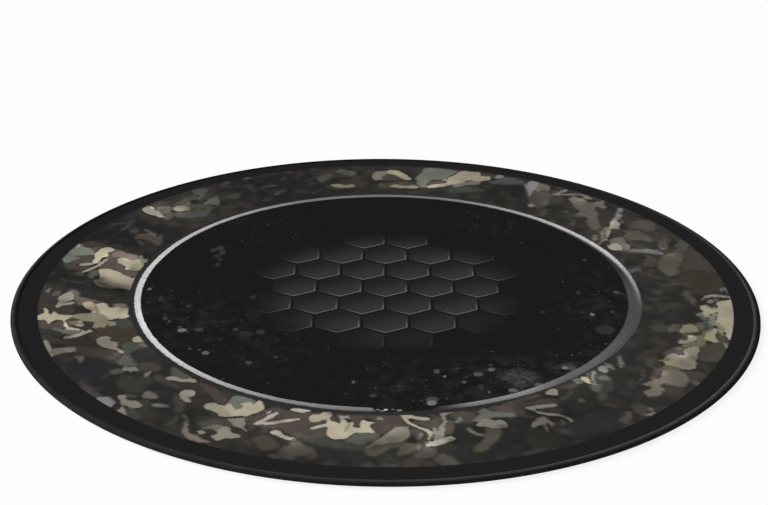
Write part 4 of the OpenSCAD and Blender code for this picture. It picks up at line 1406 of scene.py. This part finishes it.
# %% Printed cloth: the camouflage
# Scale, detail and roughness of the noise that frays the outlines, and how far they wander, in millimetres,
# on the calm left and on the ragged right. That changes between two places across the mat, and the outlines
# wander more for each millimetre over which the ink fades
FRAY_NOISE = (0.12, 3.0, 0.55)
FRAY_LEFT = 3.5
FRAY_RIGHT = 9.0
RAGGED_FROM = 180.0
RAGGED_TO = 320.0
FRAY_PER_FADE = 1.5
# Display colour of calm and of busy bare ground
CALM_GROUND = (31, 31, 31)
BUSY_GROUND = (56, 53, 48)
# Noise scale, offset and display colour of the patches on the bare ground; detail and roughness of all
PATCHES = [
    (0.03, (0.0, 0.0, 0.0), (45, 44, 41)),
    (0.036, (400.0, 0.0, 0.0), (37, 38, 36)),
    (0.045, (0.0, 400.0, 0.0), (57, 52, 47)),
]
PATCH_NOISE = (1.5, 0.4)
# The noise at which a patch starts on calm ground, the change of that on busy ground, and how much more noise
# makes it full
PATCH_FROM = 0.56
PATCH_SOONER = -0.1
PATCH_RUN = 0.16
# Soft smoke over the whole band: its noise, the part of the noise that counts, and its least and most
SMOKE_NOISE = (0.03, 4.0, 0.6)
SMOKE_RANGE = (0.35, 0.65, 0.86, 1.1)

cloth_finish, tree, shader = new_material("printed_cloth_finish")
where = millimetres(tree)
radius = vector(tree, "LENGTH", vector(tree, "MULTIPLY", where, FLATTEN), result=1)

fray = calc(tree, "SUBTRACT", noise(tree, where, *FRAY_NOISE), 0.5)
across = vector(tree, "DOT_PRODUCT", where, (1.0, 0.0, 0.0), result=1)
to_right = rise(tree, across, RAGGED_FROM, RAGGED_TO)
fray_reach = calc(tree, "MULTIPLY_ADD", to_right, FRAY_RIGHT - FRAY_LEFT, FRAY_LEFT)
busy = stored(tree, "busy")
bare_below = calc(tree, "MULTIPLY_ADD", busy, PATCH_SOONER, PATCH_FROM)
colour = blend(tree, busy, paint(CALM_GROUND), paint(BUSY_GROUND))
for scale, offset, srgb in PATCHES:
    spread = noise(tree, vector(tree, "ADD", where, offset), scale, *PATCH_NOISE)
    patch = rise(tree, spread, bare_below, calc(tree, "ADD", bare_below, PATCH_RUN))
    colour = blend(tree, patch, colour, paint(srgb))
for layer in ("ground", "upper", "detail"):
    fade = stored(tree, layer + "_fade")
    wander = calc(tree, "MULTIPLY", fray, calc(tree, "MULTIPLY_ADD", fade, FRAY_PER_FADE, fray_reach))
    depth = calc(tree, "ADD", stored(tree, layer + "_depth"), wander)
    mask = rise(tree, depth, calc(tree, "MULTIPLY", fade, -1.0), fade)
    colour = blend(tree, mask, colour, stored(tree, layer + "_ink", colour=True))
smoke = rise(tree, noise(tree, where, *SMOKE_NOISE), *SMOKE_RANGE, "LINEAR")
shading = calc(tree, "MULTIPLY", smoke, stored(tree, "cloudy"))
camouflage = blend(tree, 1.0, colour, shading, "MULTIPLY")
print("camouflage:", len(tree.nodes), "nodes")

# %% Printed cloth: the tiles
# Tiles whose centre lies within this radius are printed, and they fade out between two radii
MOTIF_R = 185.0
MOTIF_FADE = (200.0, 120.0)
TILE = 62.0
# Distances in from a tile's edge, in millimetres: the end of the groove, and the start and end of the line
# where the bevel catches light
GROOVE = (1.2, 2.4)
BEVEL_START = (2.2, 3.0)
BEVEL_END = (5.0, 3.6)
# Change of a tile's shade for each millimetre, and the direction and distances over which its bevel is lit
TILE_TILT = (0.012, -0.022, 0.0)
LIT_WAY = (0.5, -1.0, 0.0)
LIT_RUN = (4.0, 30.0)
TILE_DARK = (26, 25, 26)
TILE_LIGHT = (50, 48, 50)
BEVEL_LIGHT = (104, 102, 102)
MIDDLE_BLACK = (16, 14, 15)

tiles = place_group(tree, hexagon, Place=where, Size=TILE)
present = calc(tree, "LESS_THAN", vector(tree, "LENGTH", tiles["Centre"], result=1), MOTIF_R)
tile_shade = calc(tree, "ADD", 0.5, vector(tree, "DOT_PRODUCT", tiles["Offset"], TILE_TILT, result=1))
tile_colour = blend(tree, tile_shade, paint(TILE_DARK), paint(TILE_LIGHT))
line = calc(tree, "MULTIPLY", rise(tree, tiles["Edge"], *BEVEL_START), rise(tree, tiles["Edge"], *BEVEL_END))
lit_side = rise(tree, vector(tree, "DOT_PRODUCT", tiles["Offset"], LIT_WAY, result=1), *LIT_RUN)
tile_colour = blend(tree, calc(tree, "MULTIPLY", line, lit_side), tile_colour, paint(BEVEL_LIGHT))
whole_tiles = calc(tree, "MULTIPLY", present, rise(tree, tiles["Edge"], *GROOVE))
tile_mask = calc(tree, "MULTIPLY", whole_tiles, rise(tree, radius, *MOTIF_FADE))
middle_colour = blend(tree, tile_mask, paint(MIDDLE_BLACK), tile_colour)
print("tiles added:", len(tree.nodes), "nodes")

# %% Printed cloth: dust with a painted sheen, and drops
# Haze and grit lie where the stored dust is thick: each has its noise, the part of the noise that counts, its
# strength and its display colour. The haze is partly a painted reflection of light near the ring's right
# inside
HAZE_NOISE = (0.06, 3.0, 0.6)
HAZE_RUN = (0.42, 0.68)
HAZE_STRENGTH = 0.7
HAZE_AND_SHEEN_GREY = (54, 54, 52)
GRIT_NOISE = (0.16, 4.0, 0.7)
GRIT_RUN = (0.36, 0.62)
GRIT_STRENGTH = 0.8
GRIT_GREY = (80, 80, 77)
# Grit starts where the dust is this thick
GRIT_FROM = 0.65
# Cell, largest drop as a share of the cell, share of cells with a drop and display grey of each layer of dust
DUST = [
    (19.0, 0.3, 0.5, 58),
    (9.0, 0.3, 0.5, 66),
    (5.0, 0.34, 0.25, 88),
]
# The faintest drop of a layer as a share of the strongest
FAINTEST = 0.3
# Centre, half width and half depth in millimetres, and display grey of the single drops
SPLASHES = [
    (-261, -137, 6, 6, 104), (-265, -127, 3, 3, 58), (-239, -135, 6, 6, 56), (-224, -199, 4.5, 5.5, 92),
    (-168, -224, 4.5, 4.5, 64), (-160, -140, 6, 7, 48), (-178, -146, 10, 9, 38), (-192, -133, 3, 3, 62),
    (-245, -188, 2.5, 3, 66), (-287, -103, 4, 6, 54), (-280, -112, 2, 2.5, 70), (-261, -66, 3.5, 4, 50),
    (-301, -45, 3.5, 7, 48), (-320, -14, 3, 4, 94), (-178, -37, 5, 6, 39), (-38, -272, 2.5, 4, 82),
    (-14, -304, 5, 5, 54), (17, -281, 4, 4, 48), (56, -313, 8, 7, 66), (55, -321, 6, 6, 112),
    (63, -243, 4, 6, 68), (72, -256, 2.2, 3, 100), (95, -270, 3, 4, 76), (113, -249, 6, 6, 76),
    (130, -237, 4.5, 5, 86), (115, -281, 5, 6, 44), (124, -294, 2, 4, 76), (153, -289, 6, 5, 90),
    (170, -247, 4, 5, 54), (185, -275, 6, 5, 80), (221, -231, 4.5, 4.5, 110), (230, -233, 5, 7, 70),
    (283, -127, 13, 14, 44), (272, -82, 3.5, 5, 100), (299, -74, 3, 4, 58), (313, -14, 5, 6, 64),
    (261, -15, 3.5, 6, 46), (-247, 118, 5, 7, 48), (-238, 125, 6, 8, 54), (-233, 110, 5, 9, 50),
    (-240, 98, 5, 6, 44), (-234, 86, 4, 6, 40), (-236, 68, 4, 8, 40), (-8, -338, 2.5, 1.5, 120),
    (-4, -341, 3, 1.2, 130), (1, -338.5, 3, 2, 190), (9, -337.5, 2.5, 1, 110), (17, -339.5, 3.5, 2, 125),
]

dust_and_sheen = stored(tree, "spatter_and_sheen")
# Haze: a grey lift from paint dust, and near the right inside of the ring partly a painted reflection
haze_and_sheen = calc(tree, "MULTIPLY", dust_and_sheen, rise(tree, noise(tree, where, *HAZE_NOISE), *HAZE_RUN))
middle_colour = blend(tree, calc(tree, "MULTIPLY", haze_and_sheen, HAZE_STRENGTH), middle_colour, paint(HAZE_AND_SHEEN_GREY))
grit = rise(tree, noise(tree, where, *GRIT_NOISE), *GRIT_RUN)
grit = calc(tree, "MULTIPLY", rise(tree, dust_and_sheen, GRIT_FROM, 1.0), grit)
middle_colour = blend(tree, calc(tree, "MULTIPLY", grit, GRIT_STRENGTH), middle_colour, paint(GRIT_GREY))
for cell, largest, density, grey in DUST:
    share = calc(tree, "MULTIPLY", dust_and_sheen, density)
    drop = place_group(tree, drops, Place=where, Cell=cell, Largest=largest, Share=share)
    strength = calc(tree, "MULTIPLY_ADD", drop["Shade"], 1 - FAINTEST, FAINTEST)
    tone = calc(tree, "MULTIPLY", drop["Mask"], strength)
    middle_colour = blend(tree, tone, middle_colour, paint((grey, grey, grey)))
for x, y, wide, deep, grey in SPLASHES:
    splash = place_group(tree, blot, Place=where, Centre=(x, y, 0.0), Size=(wide, deep, 1.0))
    middle_colour = blend(tree, splash["Mask"], middle_colour, paint((grey, grey, grey - 2)))
print(len(SPLASHES), "single drops,", len(tree.nodes), "nodes")

# %% Printed cloth: ring and border
# The brush leaves the ring's edges ragged by this much, in millimetres
BRUSH_NOISE = (0.18, 4.0, 0.65)
BRUSH = 3.0
# Half of the distance over which each edge of the ring, its rim, the middle and the dark line fade
RING_EDGE = 0.8
RIM_EDGE = 3.0
MIDDLE_EDGE = 0.5
LINE_EDGE = 1.2
# Scuffs in the dry paint: their noise, the part of the noise that counts, strength and display colour
SCUFF_NOISE = (0.4, 3.0, 0.6)
SCUFF_RUN = (0.52, 0.66)
SCUFF_STRENGTH = 0.4
SCUFF_GREY = (60, 60, 60)
LINE_DARK = (41, 40, 39)
# The border starts where the band ends, and its edge fades from just inside to just outside
BORDER_FROM = BAND_OUT / MM - 0.6
BORDER_FULL = BAND_OUT / MM + 0.4
BORDER_BLACK = (23, 23, 23)

ragged = calc(tree, "MULTIPLY_ADD", noise(tree, where, *BRUSH_NOISE), BRUSH, -BRUSH / 2)
from_rim = calc(tree, "ADD", calc(tree, "SUBTRACT", stored(tree, "ring_outer"), radius), ragged)
to_body = calc(tree, "SUBTRACT", from_rim, stored(tree, "ring_rim_width"))
to_inside = calc(tree, "SUBTRACT", from_rim, stored(tree, "ring_width"))
past_rim = rise(tree, from_rim, -RING_EDGE, RING_EDGE)
ring_mask = calc(tree, "MULTIPLY", past_rim, rise(tree, to_inside, RING_EDGE, -RING_EDGE))
ring_rim = stored(tree, "ring_rim", colour=True)
ring_body = stored(tree, "ring_body", colour=True)
ring_colour = blend(tree, rise(tree, to_body, -RIM_EDGE, RIM_EDGE), ring_rim, ring_body)
scuffed = rise(tree, noise(tree, where, *SCUFF_NOISE), *SCUFF_RUN)
ring_colour = blend(tree, calc(tree, "MULTIPLY", scuffed, SCUFF_STRENGTH), ring_colour, paint(SCUFF_GREY))
in_middle = rise(tree, from_rim, -MIDDLE_EDGE, MIDDLE_EDGE)
past_line = calc(tree, "ADD", from_rim, stored(tree, "ring_line_width"))
in_line = rise(tree, past_line, -LINE_EDGE, LINE_EDGE)
printed = blend(tree, in_line, camouflage, paint(LINE_DARK))
printed = blend(tree, in_middle, printed, middle_colour)
printed = blend(tree, ring_mask, printed, ring_colour)
printed = blend(tree, rise(tree, radius, BORDER_FROM, BORDER_FULL), printed, paint(BORDER_BLACK))
print("ring and border added:", len(tree.nodes), "nodes")

# %% Printed cloth: yarn and relief
# A painted sheen: this share of light is added to every colour of the cloth, standing in for the faint
# reflection of the bright surroundings, since the cloth itself is given no gloss
PAINTED_SHEEN = 0.0065
CLOTH_GRAIN = 1.2
# The part of the fibre's shade that counts, and the least and most that it changes the print
CLOTH_WEAR = (0.3, 0.7, 0.92, 1.08)
CLOTH_ROUGHNESS = 0.95
KNIT_PITCH = 0.9
# Share of the fibre's height in the relief, the relief's strength and its depth
FIBRE_SHARE = 0.6
KNIT_STRENGTH = 0.12
KNIT_DEPTH = 0.15 * MM

yarn = place_group(tree, fibre, Place=where, Grain=CLOTH_GRAIN)
wear = rise(tree, yarn["Shade"], *CLOTH_WEAR, "LINEAR")
tinted = blend(tree, 1.0, printed, wear, "MULTIPLY")
# Painted sheen added evenly to the print's colour
with_painted_sheen = blend(tree, 1.0, tinted, (PAINTED_SHEEN, PAINTED_SHEEN, PAINTED_SHEEN, 1.0), "ADD")
feed(tree, shader["Base Color"], with_painted_sheen)
feed(tree, shader["Roughness"], CLOTH_ROUGHNESS)
feed(tree, shader["Specular IOR Level"], 0.0)
loops = place_group(tree, knit, Place=where, Pitch=KNIT_PITCH)
fuzzy_loops = calc(tree, "ADD", loops["Height"], calc(tree, "MULTIPLY", yarn["Height"], FIBRE_SHARE))
feed(tree, shader["Normal"], bump(tree, fuzzy_loops, KNIT_STRENGTH, KNIT_DEPTH))
cloth.data.materials.append(cloth_finish)
print("finish: printed cloth,", len(tree.nodes), "nodes")

# %% [markdown]
# ## Threads, rubber and film
# The looper threads are black textured polyester and quite matt, and the needle thread is spun and a little
# duller. A real overlock thread is a bundle of filaments that fluffs out until the stitches close up, so the
# finish takes most of its facing from the stored roll of the edge, and only a share from each thread. The
# rubber is matt with fine pores. The film between the layers never shows, but it has its own milky finish.

# %% Thread finishes
# Share of each thread's own facing that is added to the roll of the edge
OWN_RELIEF = 0.3
THREAD_GRAIN = 2.2
THREAD_SHADE = (0.35, 0.65)
FUZZ_STRENGTH = 0.3
FUZZ_DEPTH = 0.1 * MM


def thread_finish(name, dark, light, roughness):
    """Black yarn: the fibre group varies its shade and gives it a fine fuzz. Light falls on the close threads
    as on the rolled edge that they wrap, with a share of each thread's own relief."""
    material, tree, shader = new_material(name)
    where = millimetres(tree)
    yarn = place_group(tree, fibre, Place=where, Grain=THREAD_GRAIN)
    shade = rise(tree, yarn["Shade"], *THREAD_SHADE)
    feed(tree, shader["Base Color"], blend(tree, shade, paint(dark), paint(light)))
    feed(tree, shader["Roughness"], roughness)
    feed(tree, shader["Specular IOR Level"], 0.0)
    roll = add_node(tree, "ShaderNodeAttribute", attribute_name="roll").outputs["Vector"]
    own = add_node(tree, "ShaderNodeNewGeometry").outputs["Normal"]
    facing = vector(tree, "ADD", roll, vector(tree, "MULTIPLY", own, (OWN_RELIEF,) * 3))
    fuzz = bump(tree, yarn["Height"], FUZZ_STRENGTH, FUZZ_DEPTH, vector(tree, "NORMALIZE", facing))
    feed(tree, shader["Normal"], fuzz)
    return material


looper_finish = thread_finish("looper_thread_finish", (54, 54, 55), (63, 63, 64), 0.6)
needle_finish = thread_finish("needle_thread_finish", (54, 54, 55), (61, 61, 62), 0.7)
upper_thread.data.materials.append(looper_finish)
lower_thread.data.materials.append(looper_finish)
needle.data.materials.append(needle_finish)
print("finishes: looper and needle threads")

# %% Rubber and film finishes
RUBBER_PORES = (0.9, 3.0, 0.6)
RUBBER_CLOUDS = 0.03
RUBBER_RUN = (0.4, 0.6)
RUBBER_DARK = (24, 24, 25)
RUBBER_LIGHT = (32, 32, 33)
PORE_STRENGTH = 0.4
PORE_DEPTH = 0.3 * MM
FILM_CLOUDS = (0.06, 3.0)
FILM_RUN = (0.35, 0.65)
FILM_DARK = (208, 203, 186)
FILM_LIGHT = (222, 218, 204)
# How much the noise roughens either surface beyond its smoothest
ROUGHENED = 0.3
RUBBER_SMOOTHEST = 0.6
FILM_SMOOTHEST = 0.35

rubber_finish, tree, shader = new_material("rubber_finish")
where = millimetres(tree)
pores = noise(tree, where, *RUBBER_PORES)
shade = rise(tree, noise(tree, where, RUBBER_CLOUDS), *RUBBER_RUN)
feed(tree, shader["Base Color"], blend(tree, shade, paint(RUBBER_DARK), paint(RUBBER_LIGHT)))
feed(tree, shader["Roughness"], calc(tree, "MULTIPLY_ADD", pores, ROUGHENED, RUBBER_SMOOTHEST))
feed(tree, shader["Normal"], bump(tree, pores, PORE_STRENGTH, PORE_DEPTH))
rubber.data.materials.append(rubber_finish)

film_finish, tree, shader = new_material("film_finish")
cloud = noise(tree, millimetres(tree), *FILM_CLOUDS)
shade = rise(tree, cloud, *FILM_RUN)
feed(tree, shader["Base Color"], blend(tree, shade, paint(FILM_DARK), paint(FILM_LIGHT)))
feed(tree, shader["Roughness"], calc(tree, "MULTIPLY_ADD", cloud, ROUGHENED, FILM_SMOOTHEST))
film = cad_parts["bonding_film"]
for material_slot in film.material_slots:
    material_slot.material = film_finish
print("finishes: rubber, film")

# %% [markdown]
# ## Floor, light and camera
# The floor is pale and catches the mat's soft shadow. To the camera it also glows, so that it reads as white
# without putting more light on the mat. A low, soft sun from the back left brings out the roll of the sewn
# edge, and the sky fills the rest. Together they are bright enough for a colour to render about as it is
# written. The camera looks down on the mat from the front with a long lens.

# %% Floor and sky
FLOOR_HALF = 6.0
FLOOR_Z = -0.1 * MM
FLOOR_COLOUR = (0.92, 0.92, 0.92, 1.0)
FLOOR_ROUGHNESS = 0.9
FLOOR_GLOW = 0.86
SKY = 0.2

floor_mesh = bpy.data.meshes.new("floor")
floor_corners = np.array([(-1, -1, 0), (1, -1, 0), (1, 1, 0), (-1, 1, 0)]) * FLOOR_HALF + (0, 0, FLOOR_Z)
floor_mesh.from_pydata(floor_corners, [], [(0, 1, 2, 3)])
floor = bpy.data.objects.new("floor", floor_mesh)
bpy.context.scene.collection.objects.link(floor)


def white_to_camera(tree):
    """1 for what the camera sees, also in gloss and through glass, and 0 for light that reaches the mat."""
    path = add_node(tree, "ShaderNodeLightPath").outputs
    seen = calc(tree, "MAXIMUM", path["Is Camera Ray"], path["Is Glossy Ray"])
    return calc(tree, "MAXIMUM", seen, path["Is Transmission Ray"])


floor_finish, tree, shader = new_material("floor_finish")
feed(tree, shader["Base Color"], FLOOR_COLOUR)
feed(tree, shader["Roughness"], FLOOR_ROUGHNESS)
feed(tree, shader["Specular IOR Level"], 0.0)
glow = add_node(tree, "ShaderNodeEmission")
mix = add_node(tree, "ShaderNodeMixShader")
feed(tree, mix.inputs[0], calc(tree, "MULTIPLY", white_to_camera(tree), FLOOR_GLOW))
feed(tree, mix.inputs[1], tree.nodes["Principled BSDF"].outputs[0])
feed(tree, mix.inputs[2], glow.outputs[0])
feed(tree, tree.nodes["Material Output"].inputs[0], mix.outputs[0])
floor_mesh.materials.append(floor_finish)

world = bpy.data.worlds.new("studio")
world.use_nodes = True
bpy.context.scene.world = world
tree = world.node_tree
sky = tree.nodes["Background"].inputs
feed(tree, sky["Color"], (1.0, 1.0, 1.0, 1.0))
feed(tree, sky["Strength"], rise(tree, white_to_camera(tree), 0.0, 1.0, SKY, 1.0, "LINEAR"))
print(f"floor {2 * FLOOR_HALF:.0f} m wide, sky {SKY}")

# %% Light
KEY_FROM = Vector((-1.7, 1.5, 0.85))
KEY_STRENGTH = 6.98
KEY_SPREAD = np.radians(25)
key = bpy.data.lights.new("key", "SUN")
key.energy = KEY_STRENGTH
key.angle = KEY_SPREAD
key_light = bpy.data.objects.new("key", key)
key_light.location = KEY_FROM
key_light.rotation_euler = (-KEY_FROM).to_track_quat("-Z", "Y").to_euler()
bpy.context.scene.collection.objects.link(key_light)
flat_light = SKY + KEY_STRENGTH / np.pi * KEY_FROM.normalized().z
print(f"light on a level surface: {flat_light:.2f} of full white")

# %% Camera
LENS = 73.2
SENSOR = 36.0
CAMERA_AWAY = 2.1306
CAMERA_RISE = np.radians(25.24)
CAMERA_TILT = np.radians(66.10)
CAMERA_TURN = np.radians(0.078)
CAMERA_ROLL = np.radians(0.395)
lens = bpy.data.cameras.new("camera")
lens.lens = LENS
lens.sensor_width = SENSOR
camera = bpy.data.objects.new("camera", lens)
camera.location = CAMERA_AWAY * Vector((0, -np.cos(CAMERA_RISE), np.sin(CAMERA_RISE)))
aim = Matrix.Rotation(CAMERA_TURN, 3, "Z") @ Matrix.Rotation(CAMERA_TILT, 3, "X")
aim = aim @ Matrix.Rotation(CAMERA_ROLL, 3, "Z")
camera.rotation_euler = aim.to_euler()
bpy.context.scene.collection.objects.link(camera)
bpy.context.scene.camera = camera
bpy.context.scene.view_settings.view_transform = "Standard"
print(f"camera: {LENS} mm lens, {CAMERA_AWAY:.2f} m away")
